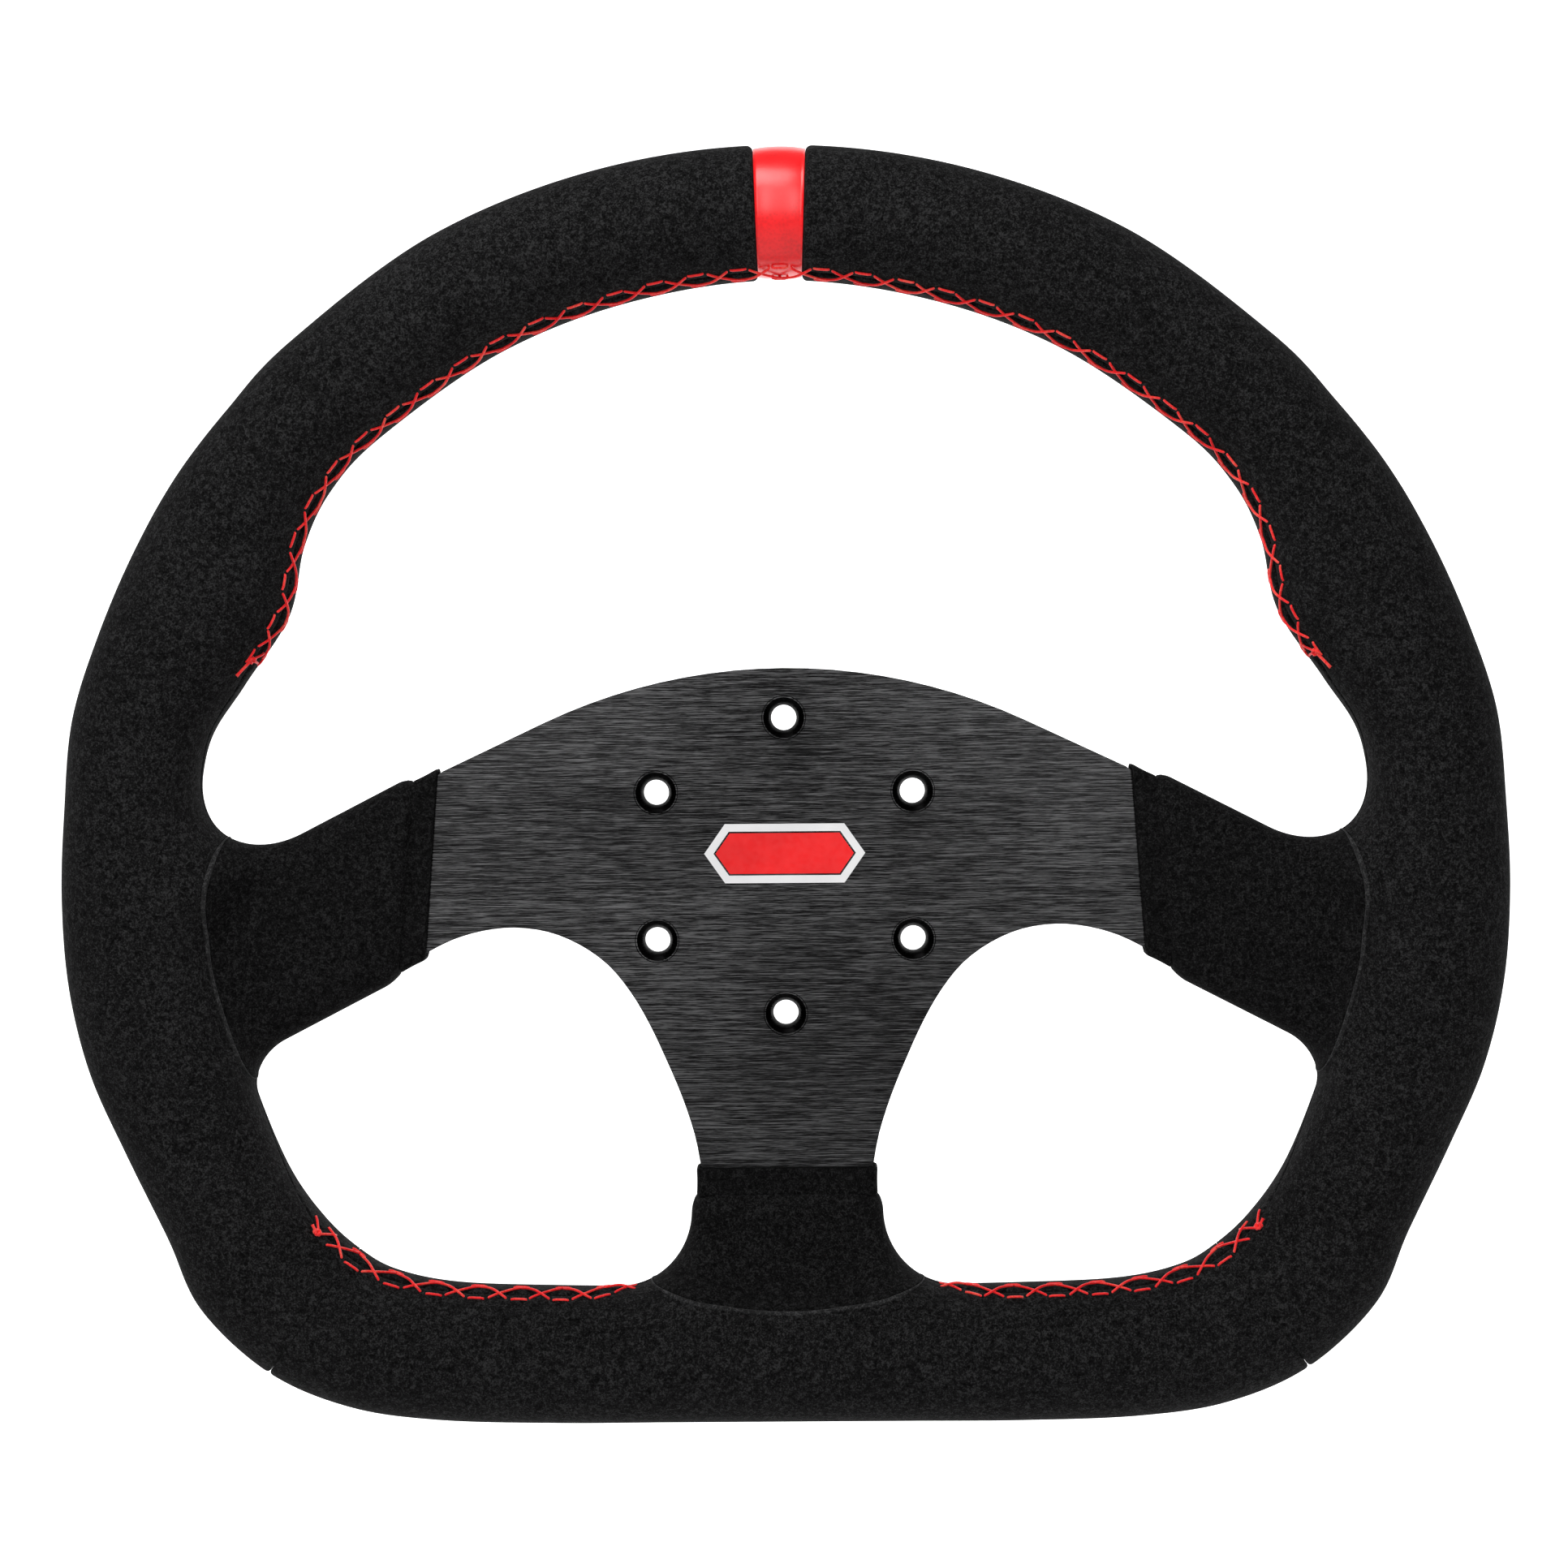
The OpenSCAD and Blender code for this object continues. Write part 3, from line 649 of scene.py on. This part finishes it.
def make_sleeve(arm, rows, cols):
    """Outer and inner grids of a sleeve, and its seam line."""
    first, last = start_ring(arm, cols), seam_loop(arm, cols)
    near = np.array((0, 0.006, 0.014, 0.026, 0.045))
    v = np.r_[near, np.linspace(0.07, 0.93, rows - 10), 1 - near[::-1]][:, None]
    s0, w0 = arm.place(first[:, 0], first[:, 2])
    s1, w1 = arm.place(last[:, 0], last[:, 2])
    late = v**5
    grid = arm_points(arm, s0 + (s1 - s0) * v, w0 + (w1 - w0) * late,
                      first[:, 1] + (last[:, 1] - first[:, 1]) * late)
    grid[0], grid[-1] = first, last
    for _ in range(24):
        inner = grid[1:-1]
        mean = (np.roll(inner, 1, axis=1) + np.roll(inner, -1, axis=1)) / 2
        before, after = (v[1:-1] - v[:-2])[..., None], (v[2:] - v[1:-1])[..., None]
        along = (grid[:-2] * after + grid[2:] * before) / (v[2:] - v[:-2])[..., None]
        grid[1:-1] = settle(inner * 0.4 + mean * 0.3 + along * 0.3, 2)
    normal = unit(gradient(body_field, grid))
    length = np.linalg.norm(np.diff(grid, axis=0), axis=-1)
    from_start = np.vstack((np.zeros(cols), np.cumsum(length, axis=0)))
    to_end = from_start[-1] - from_start
    sink = hem_sink(from_start, 1.7) + hem_sink(to_end, 0.6)
    outer = grid - normal * sink[..., None]
    inner = grid - normal * (sink * 0.3 + COVER_T)[..., None]
    return outer, inner, last


SLEEVES = {}
for arm_name, arm in (("side", SIDE), ("bottom", BOTTOM)):
    SLEEVES[arm_name] = make_sleeve(arm, 72 if arm is SIDE else 44, 180)

side_points, side_faces = shell(*SLEEVES["side"][:2], wrap_cols=True)
bottom_points, bottom_faces = shell(*SLEEVES["bottom"][:2], wrap_cols=True)
make_piece("sleeve_right", side_points, side_faces, SLEEVE_SUEDE, ["right_sleeve"])
make_piece("sleeve_left", mirror_x(side_points), side_faces, SLEEVE_SUEDE, ["left_sleeve"])
make_piece("sleeve_bottom", bottom_points, bottom_faces, SLEEVE_SUEDE, ["bottom_sleeve"])


def make_ridge(name, line, flip):
    """The raised seam where a sleeve meets the rim's cover, in a lighter suede: a painted highlight along it.
    """
    normal = unit(gradient(body_field, line))
    facing = np.clip(np.abs(normal[:, 1]), 0, 1)
    radius = 0.2 + 0.5 * smooth_step((facing - 0.25) / 0.6)
    path = line - normal * (radius * 0.25)[:, None]
    sides = 8
    along = unit(np.roll(path, -1, axis=0) - np.roll(path, 1, axis=0))
    across = np.cross(along, normal)
    a = np.arange(sides) * 2 * math.pi / sides
    spokes = np.cos(a)[:, None] * across[:, None] + np.sin(a)[:, None] * normal[:, None]
    rings = path[:, None] + radius[:, None, None] * spokes
    points = rings.reshape(-1, 3)
    faces = grid_faces(len(path), sides, wrap_rows=True, wrap_cols=True)
    make_piece(name, mirror_x(points) if flip else points, faces, SEAM_HIGHLIGHT_SUEDE)


make_ridge("sleeve_seam_right", SLEEVES["side"][2], False)
make_ridge("sleeve_seam_left", SLEEVES["side"][2], True)
make_ridge("sleeve_seam_bottom", SLEEVES["bottom"][2], False)

# ---------------------------------------------------------------- rim covers

def loop_on_rim(line):
    """Place t round the rim and angle round its section, for each point of a line near the rim."""
    t = np.linspace(8, 23, 6001)
    middle, out, half = section(t)
    d = line[:, None, (0, 2)] - middle
    along = (d * out).sum(-1)
    across = np.abs(d[..., 0] * out[:, 1] - d[..., 1] * out[:, 0])
    k = np.argmin(np.where(np.abs(along) < half + 25, across, 1e6), axis=1)
    q = along[np.arange(len(line)), k]
    return t[k], np.arctan2(line[:, 1] - RIM_Y, q) % (2 * math.pi)


class Opening:
    """The hole in a cover that a sleeve fills: the angles of its front and back edges at each t."""

    def __init__(self, line):
        t, angle = loop_on_rim(line)
        lo, hi = np.argmin(t), np.argmax(t)
        self.lo, self.hi = t[lo], t[hi]
        self.tip_lo, self.tip_hi = angle[lo], angle[hi]
        first = np.roll(np.arange(len(t)), -lo)
        turn = (hi - lo) % len(t)
        one, two = first[:turn + 1], np.r_[first[turn:], first[:1]][::-1]
        front, back = (one, two) if angle[one].mean() > angle[two].mean() else (two, one)
        self.front = (np.maximum.accumulate(t[front]), angle[front])
        self.back = (np.maximum.accumulate(t[back]), angle[back])

    def edges(self, t):
        return np.interp(t, *self.front), np.interp(t, *self.back)


SIDE_OPENING = Opening(SLEEVES["side"][2])
BOTTOM_OPENING = Opening(SLEEVES["bottom"][2])
HEM_GAP = 0.22
# Where the laced seam sits round the section: over the top, by the thumb rests, and below.
TOP_SEAM, THUMB_SEAM, LOW_SEAM = (math.radians(a) for a in (198, 191, 195.5))


def fold(t):
    """The same place on the right half of the rim."""
    return np.where(t > HALF, 2 * HALF - t, t)


def seam_middle(t):
    """Angle of the butted hems round the section, where there is no arm."""
    side, bottom = SIDE_OPENING, BOTTOM_OPENING
    knots = (0, 3.5, 6.2, 7.2, side.lo, side.hi, 15.0, bottom.lo - 0.6, bottom.lo, HALF)
    angles = (TOP_SEAM, TOP_SEAM, THUMB_SEAM, THUMB_SEAM, side.tip_lo, side.tip_hi,
              LOW_SEAM, LOW_SEAM, bottom.tip_lo, bottom.tip_lo)
    t = fold(t)
    k = np.clip(np.searchsorted(knots, t, side="right") - 1, 0, len(knots) - 2)
    a, b = np.take(knots, k), np.take(knots, k + 1)
    return np.take(angles, k) + (np.take(angles, k + 1) - np.take(angles, k)) * smooth_step((t - a) / (b - a))


def hems(t):
    """Angles where a cover starts, on the front side of its seam, and ends, on the back side."""
    middle = seam_middle(t)
    front, back = middle.copy(), middle.copy()
    for opening in (SIDE_OPENING, BOTTOM_OPENING):
        r = fold(t)
        inside = (r > opening.lo) & (r < opening.hi + (1 if opening is BOTTOM_OPENING else 0))
        f, b = opening.edges(r)
        front, back = np.where(inside, f, front), np.where(inside, b, back)
    gap = HEM_GAP / RIM_HALF_WIDE
    return front + gap, back - gap + 2 * math.pi


def hem_radius(t):
    """Radius of a cover's turned edge: full where it is laced, tight against the sleeves."""
    r = fold(t)
    over_top = 1 - smooth_step((r - 6.6) / 0.6)
    below = smooth_step((r - 15.0) / 0.5) - smooth_step((r - BOTTOM_OPENING.lo + 0.4) / 0.3)
    return 0.45 + 1.0 * (over_top + below)


def end_radius_at(angle, radii):
    """Radius of a cover's end edge: one value on the outside of the bend, another elsewhere."""
    outside, elsewhere = radii
    turn = np.minimum(angle % (2 * math.pi), -angle % (2 * math.pi))
    return elsewhere + (outside - elsewhere) * (1 - smooth_step((turn - 0.35) / 0.3))


def rows_between(t0, t1, step, extra=()):
    """Places t for rows about a step apart, closer together at both ends and near extra places."""
    t = np.linspace(t0, t1, 4001)
    middle = section(t)[0]
    d = np.r_[0, np.cumsum(np.linalg.norm(np.diff(middle, axis=0), axis=1))]
    near = np.array((0, 0.12, 0.3, 0.55, 0.85, 1.2, 1.7))
    marks = [near, d[-1] - near[::-1]]
    for place in extra:
        if t0 < place < t1:
            c = np.interp(place, t, d)
            marks.append(c + np.array((-1.5, -0.7, -0.3, 0, 0.3, 0.7, 1.5)))
    even = np.arange(2.4, d[-1] - 2.4, step)
    marks = np.sort(np.concatenate(marks + [even]))
    keep = np.r_[True, np.diff(marks) > 0.05]
    marks = np.clip(marks[keep], 0, d[-1])
    return np.interp(marks, d, t), marks, d[-1] - marks


def surface_radius(t, angle, rounds=7):
    """Distance from the section's middle to the body's surface, along each ray."""
    _, _, half = section(t)
    r = polar_radius(angle, half)
    for _ in range(rounds):
        f = body_field(at_ray(t, angle, r))
        slope = (body_field(at_ray(t, angle, r + 0.1)) - f) / 0.1
        r = r + np.clip(-f / np.maximum(slope, 0.35), -1.5, 2.5)
    return r


def cover_grid(t0, t1, end_radius, step=1.25, cols=84):
    """Outer and inner grids of a cover between two places round the rim."""
    extra = (SIDE_OPENING.lo, SIDE_OPENING.hi, BOTTOM_OPENING.lo, 2 * HALF - BOTTOM_OPENING.lo)
    t, from_start, to_end = rows_between(t0, t1, step, extra)
    front, back = hems(t)
    near = np.array((0, 0.1, 0.25, 0.5, 0.8, 1.2, 1.8, 2.6, 3.6)) / 92
    v = np.r_[near, np.linspace(0.05, 0.95, cols), 1 - near[::-1]]
    angle = front[:, None] + (back - front)[:, None] * v
    tt = np.repeat(t[:, None], len(v), axis=1)
    r = surface_radius(tt, angle)
    girth = (back - front)[:, None] * r
    hem = np.minimum(v * girth, (1 - v) * girth)
    start_r, finish_r = end_radius
    sink = hem_sink(hem, hem_radius(tt))
    sink = np.maximum(sink, hem_sink(from_start[:, None], end_radius_at(angle, start_r)))
    sink = np.maximum(sink, hem_sink(to_end[:, None], end_radius_at(angle, finish_r)))
    outer = at_ray(tt, angle, r - sink)
    inner = at_ray(tt, angle, r - np.maximum(sink + 0.25, COVER_T + 0.5))
    return outer, inner


BAND_HALF_T = 6.0 / 41
JOINT_T = 16.0
BAND_EDGE, JOINT_EDGE = (1.4, 1.4), (0.8, 0.22)
half_grids = cover_grid(BAND_HALF_T + 0.002, JOINT_T - 0.002, (BAND_EDGE, JOINT_EDGE))
low_grids = cover_grid(JOINT_T + 0.002, 2 * HALF - JOINT_T - 0.002, (JOINT_EDGE, JOINT_EDGE))
upper_points, upper_faces = shell(*half_grids)
lower_points, lower_faces = shell(*low_grids)
make_piece("cover_upper_right", upper_points, upper_faces, RIM_SUEDE, ["upper_right_cover"])
make_piece("cover_upper_left", mirror_x(upper_points), upper_faces, RIM_SUEDE,
           ["upper_left_cover"])
make_piece("cover_lower", lower_points, lower_faces, RIM_SUEDE, ["lower_cover"])


def make_band():
    """The red leather band, a little below the covers and crowned across its width."""
    v = np.linspace(-1, 1, 15)
    a = np.linspace(0, 2 * math.pi, 120, endpoint=False)
    t = (v * (BAND_HALF_T + 0.001))[:, None] + 0 * a
    angle = a + 0 * t
    r = polar_radius(angle, section(t)[2])
    low = 0.35 + 0.45 * np.abs(v[:, None]) ** 2.5
    points, faces = shell(at_ray(t, angle, r - low), at_ray(t, angle, r - 1.15), wrap_cols=True)
    make_piece("band", points, faces, BAND, ["centre_band"])


make_band()

# ---------------------------------------------------------------- cuffs

def make_cuff(arm, name, length, wide, node_names, both):
    """A pressed band of suede round the arm, with turned edges, closed at its inner end."""
    cols = 160
    a = np.linspace(0, 2 * math.pi, cols, endpoint=False)
    s = np.r_[0.25, 0.05, -0.15, -0.5, -1.0, np.linspace(-1.6, -length + 1.0, 10),
              -length + 0.5, -length + 0.2, -length]
    fall = hem_sink(-s + 0.25, 0.6) + hem_sink(s + length, 0.7)
    fall = fall + 0.12 * np.sin(np.clip(-s / length, 0, 1) * math.pi)

    def even_ring(inset):
        ww, dd, r = wide - inset, 4.55 - inset, max(2.2 - inset, 0.4)
        x, y = ww - r, dd - r
        corners = [(x, y, 0), (-x, y, 1), (-x, -y, 2), (x, -y, 3)]
        pts = []
        for cx, cy, quarter in corners:
            q = np.linspace(0, math.pi / 2, 10) + quarter * math.pi / 2
            pts.append(np.stack((cx + r * np.cos(q), cy + r * np.sin(q), 0 * q), axis=-1))
        return resample_loop(np.vstack(pts), cols)[:, :2]

    def grid(extra):
        rows = []
        for at, f in zip(s, fall):
            wy = even_ring(f + extra)
            rows.append(arm_points(arm, np.full(cols, at), wy[:, 0], -2.5 + wy[:, 1]))
        return np.array(rows)

    outer = grid(0.0)
    core = even_ring(2.0)
    inner = np.array([arm_points(arm, np.full(cols, at), core[:, 0], -2.5 + core[:, 1]) for at in s])
    points, faces = shell(outer, inner, wrap_cols=True)
    make_piece(name.format("right"), points, faces, CUFF_SUEDE, [node_names[0]])
    if both:
        make_piece(name.format("left"), mirror_x(points), faces, CUFF_SUEDE, [node_names[1]])


make_cuff(SIDE, "cuff_{}", 6.5, 19.4, ["right_cuff", "left_cuff"], True)
make_cuff(BOTTOM, "cuff_bottom", 6.5, 21.5, ["bottom_cuff"], False)

# ---------------------------------------------------------------- lacing

# Millimetres along the seam: a repeat, a cross's two ends from its middle, and half a dash. Across it: the
# crosses' holes and the dashes, each from the seam's middle.
TOP_PITCH = 9.52
LOW_PITCH = 9.84
THREAD_R = 0.3
HEM_MM = 2.6
CROSS_FRONT = 2.25
CROSS_BACK = 4.9
DASH = 1.75
DASH_ACROSS = HEM_MM + 0.35
# Radius that turns a distance across the seam into an angle.
SEAM_R = 15.6
rng = np.random.default_rng(7)


def inner_length():
    t = np.linspace(0, HALF, 8001)
    inner = edge(t, 1)
    return t, np.r_[0, np.cumsum(np.linalg.norm(np.diff(inner, axis=0), axis=1))]


LENGTH_T, LENGTH_MM = inner_length()


def on_seam(mm, across, lift):
    """A point near the seam: distance round the inner edge, distance to the front, height off the cover."""
    mm, across, lift = (np.asarray(x, float) for x in (mm, across, lift))
    t = np.interp(np.abs(mm), LENGTH_MM, LENGTH_T)
    angle = seam_middle(t) + across / SEAM_R
    _, _, half = section(t)
    p = at_ray(t, angle, polar_radius(angle, half) + lift)
    return p * np.stack((np.where(mm < 0, -1.0, 1.0), np.ones_like(t), np.ones_like(t)), axis=-1)


def strand(mm0, a0, mm1, a1, over=0.0):
    """A thread from one hem hole to another, dipping into both holes."""
    v = np.linspace(0, 1, 11)
    lift = 0.22 + over * np.sin(v * math.pi) ** 2
    lift[0] = lift[-1] = -0.7
    lift[1] = lift[-2] = 0.12
    v2 = v.copy()
    v2[1], v2[-2] = 0.03, 0.97
    return tube(on_seam(mm0 + (mm1 - mm0) * v2, a0 + (a1 - a0) * v2, lift), THREAD_R)


def dash(mm, across):
    return strand(mm - DASH, across, mm + DASH, across)


def stitches(first, count, pitch):
    """Crosses and hem dashes, one repeat a pitch, from a distance round the inner edge."""
    parts = []
    for k in range(count):
        mm = first + k * pitch
        j = rng.uniform(-0.25, 0.25, 6)
        parts.append(strand(mm - CROSS_FRONT + j[0], HEM_MM, mm + CROSS_BACK + j[1], -HEM_MM))
        parts.append(strand(mm + CROSS_FRONT + j[2], HEM_MM, mm - CROSS_BACK + j[3], -HEM_MM, 0.55))
        parts.append(dash(mm + pitch / 2 + j[4], DASH_ACROSS))
        parts.append(dash(mm + pitch / 2 + j[5], -DASH_ACROSS))
    return parts


def knot(mm, across, tail_mm, tail_across):
    """A small knot of three loops with a short tail."""
    parts = []
    turn = np.linspace(0, 2 * math.pi, 13)[:-1]
    for k, (a, b) in enumerate(((0.75, 0.35), (0.4, 0.75), (0.6, 0.6))):
        lift = 0.3 + 0.2 * k + 0.25 * np.sin(2 * turn)
        ring = on_seam(mm + a * np.cos(turn + k), across + b * np.sin(turn + k), lift)
        parts.append(tube(np.vstack((ring, ring[:2])), THREAD_R * 1.05))
    v = np.linspace(0, 1, 7)
    tail = on_seam(mm + tail_mm * v, across + tail_across * v, 0.35 - 0.1 * v)
    parts.append(tube(tail, np.r_[np.full(6, THREAD_R * 1.15), THREAD_R * 1.5]))
    return parts


TOP_CROSSES = 17
top_parts = [dash(0, DASH_ACROSS), dash(0, -DASH_ACROSS)]
for side in (1, -1):
    top_parts += stitches(side * TOP_PITCH / 2, TOP_CROSSES, side * TOP_PITCH)
    top_end = side * (TOP_CROSSES + 0.1) * TOP_PITCH
    top_parts += knot(top_end, 2.2, side * 4.7, 1.1)
    top_parts += [strand(top_end, 2.4, top_end - side * 2.4, -1.2),
                  strand(top_end, 1.8, top_end + side * 0.4, -1.6)]
points, faces = join(top_parts)
make_piece("lacing_top", points, faces, THREAD, ["top_lacing"])

# The lower lacing starts this far round the inner edge from top centre.
LOW_START = 310.1
LOW_CROSSES = 8
low_end = LOW_START + (LOW_CROSSES - 0.05) * LOW_PITCH
low_parts = stitches(LOW_START, LOW_CROSSES, LOW_PITCH)
low_parts += knot(LOW_START - 5.6, 2.4, -2.0, -0.6)
low_parts += [strand(LOW_START - 5.2, 2.0, LOW_START - 8.6, -1.4),
              strand(LOW_START - 5.0, 2.0, LOW_START - 2.0, -2.4),
              strand(low_end - 2.0, HEM_MM, low_end + 1.0, 0.6),
              strand(low_end - 3.6, -HEM_MM, low_end + 1.0, 0.6)]
points, faces = join(low_parts)
make_piece("lacing_lower_right", points, faces, THREAD, ["lower_right_lacing"])
make_piece("lacing_lower_left", mirror_x(points), faces[:, ::-1], THREAD, ["lower_left_lacing"])

# ---------------------------------------------------------------- plate and the kept CAD nodes

def copy_with_bevel(node, name, material, width, segments):
    """The CAD node's own shape with its edges broken."""
    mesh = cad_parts[node].data.copy()
    mesh.name = name
    bm = bmesh.new()
    bm.from_mesh(mesh)
    bmesh.ops.remove_doubles(bm, verts=bm.verts, dist=1e-6)
    bmesh.ops.dissolve_limit(bm, angle_limit=math.radians(0.5), verts=bm.verts, edges=bm.edges)
    sharp = [e for e in bm.edges if len(e.link_faces) == 2 and e.calc_face_angle(0) > math.radians(28)]
    bmesh.ops.bevel(bm, geom=sharp, offset=width * MM, segments=segments, affect="EDGES", clamp_overlap=True)
    bmesh.ops.triangulate(bm, faces=bm.faces)
    bm.to_mesh(mesh)
    bm.free()
    mesh.materials.clear()
    mesh.materials.append(material)
    for face in mesh.polygons:
        face.use_smooth = abs(face.normal.y) < 0.999
    piece = bpy.data.objects.new(name, mesh)
    bpy.context.scene.collection.objects.link(piece)
    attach(piece, ROOT)
    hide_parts(node)
    return piece


def make_foam():
    """The foam as it leaves its mould: edges softened, and its skin just clear of the covers."""
    node = "grip_foam"
    voxel, clear = 1.5, 0.25
    piece = bpy.data.objects.new("foam_core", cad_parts[node].data.copy())
    bpy.context.scene.collection.objects.link(piece)
    remesh = piece.modifiers.new("remesh", "REMESH")
    remesh.mode = "VOXEL"
    remesh.voxel_size = voxel * MM
    soften = piece.modifiers.new("soften", "SMOOTH")
    soften.factor = 0.5
    soften.iterations = 4
    shrink = piece.modifiers.new("shrink", "DISPLACE")
    shrink.mid_level = 0
    shrink.strength = -clear * MM
    graph = bpy.context.evaluated_depsgraph_get()
    mesh = bpy.data.meshes.new_from_object(piece.evaluated_get(graph))
    piece.modifiers.clear()
    mesh.name = "foam_core"
    mesh.materials.clear()
    mesh.materials.append(FOAM)
    mesh.shade_smooth()
    piece.data = mesh
    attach(piece, ROOT)
    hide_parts(node)


make_foam()
copy_with_bevel("spoke_plate", "plate", PLATE, 0.3, 2)
for node, paint in NODE_PAINTS.items():
    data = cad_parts[node].data
    data.materials.clear()
    data.materials.append(paint)

# ---------------------------------------------------------------- stage

# How bright the floor and the studio look, and how strongly the studio fills the shadows.
BACKDROP = 0.94
FILL = 0.2


def make_stage():
    """A pale floor that sweeps up into a wall behind the wheel."""
    floor_z, wall_y, bend, top, wide, front = -0.42, 1.9, 0.7, 2.6, 4.0, -3.0
    line = [(front, floor_z), (wall_y - bend, floor_z)]
    line += [(wall_y - bend + bend * math.sin(a), floor_z + bend * (1 - math.cos(a)))
             for a in np.linspace(0, math.pi / 2, 24)[1:]]
    line.append((wall_y, top))
    points = [(x, y, z) for y, z in line for x in (-wide, wide)]
    faces = [(2 * k, 2 * k + 1, 2 * k + 3, 2 * k + 2) for k in range(len(line) - 1)]
    mesh = bpy.data.meshes.new("floor")
    mesh.from_pydata(points, [], faces)
    mesh.shade_smooth()
    p = Paint("floor_paper", Roughness=0.9)
    depth = p.node("ShaderNodeSeparateXYZ")
    p.link(p.place, depth.inputs[0])
    seen = p.node("ShaderNodeLightPath").outputs["Is Camera Ray"]
    glow = p.span(depth.outputs["Y"], -0.2, 0.5, 0.06, BACKDROP)
    p.set("Emission Strength", p.math("MAXIMUM", glow, p.math("MULTIPLY", seen, BACKDROP)))
    p.set("Base Color", p.ramp(p.noise(3.0, 2.0, 0.5), (0.3, (0.9, 0.9, 0.9)), (0.7, (0.93, 0.93, 0.93))))
    p.shader.inputs["Emission Color"].default_value = (1, 1, 1, 1)
    mesh.materials.append(p.material)
    floor = bpy.data.objects.new("floor", mesh)
    bpy.context.scene.collection.objects.link(floor)


def area_light(name, place, target, size, power):
    light = bpy.data.lights.new(name, "AREA")
    light.shape = "RECTANGLE"
    light.size, light.size_y = size
    light.energy = power
    holder = bpy.data.objects.new(name, light)
    holder.location = place
    holder.rotation_euler = (Vector(target) - Vector(place)).to_track_quat("-Z", "Y").to_euler()
    bpy.context.scene.collection.objects.link(holder)


def make_lights():
    area_light("key", (-0.16, -0.34, 0.56), (-0.01, 0, 0.08), (0.5, 0.28), 2.9)
    area_light("left", (-0.22, -1.2, 0.42), (-0.05, 0, 0), (0.12, 0.6), 2.5)
    area_light("right", (0.22, -1.2, 0.42), (0.05, 0, 0), (0.12, 0.6), 2.2)
    world = bpy.data.worlds.new("studio")
    world.use_nodes = True
    tree = world.node_tree
    background = tree.nodes["Background"]
    background.inputs["Color"].default_value = (1, 1, 1, 1)
    strength = tree.nodes.new("ShaderNodeMapRange")
    strength.inputs["To Min"].default_value = FILL
    strength.inputs["To Max"].default_value = BACKDROP
    path = tree.nodes.new("ShaderNodeLightPath")
    tree.links.new(path.outputs["Is Camera Ray"], strength.inputs["Value"])
    tree.links.new(strength.outputs["Result"], background.inputs["Strength"])
    bpy.context.scene.world = world
    bpy.context.scene.view_settings.view_transform = "Standard"


def make_camera():
    """Straight in front and a little above the middle, looking slightly down, rolled half a degree."""
    place = Vector((0.0036, -0.62, 0.044))
    target = Vector((0.0, RIM_Y * MM, 0.0196))
    data = bpy.data.cameras.new("camera")
    data.sensor_width = 36
    data.lens = 59.94
    camera = bpy.data.objects.new("camera", data)
    turn = (target - place).to_track_quat("-Z", "Y").to_matrix()
    roll = Matrix.Rotation(math.radians(-0.45), 3, "Z")
    camera.matrix_world = Matrix.Translation(place) @ (turn @ roll).to_4x4()
    bpy.context.scene.collection.objects.link(camera)
    bpy.context.scene.camera = camera


make_stage()
make_lights()
make_camera()
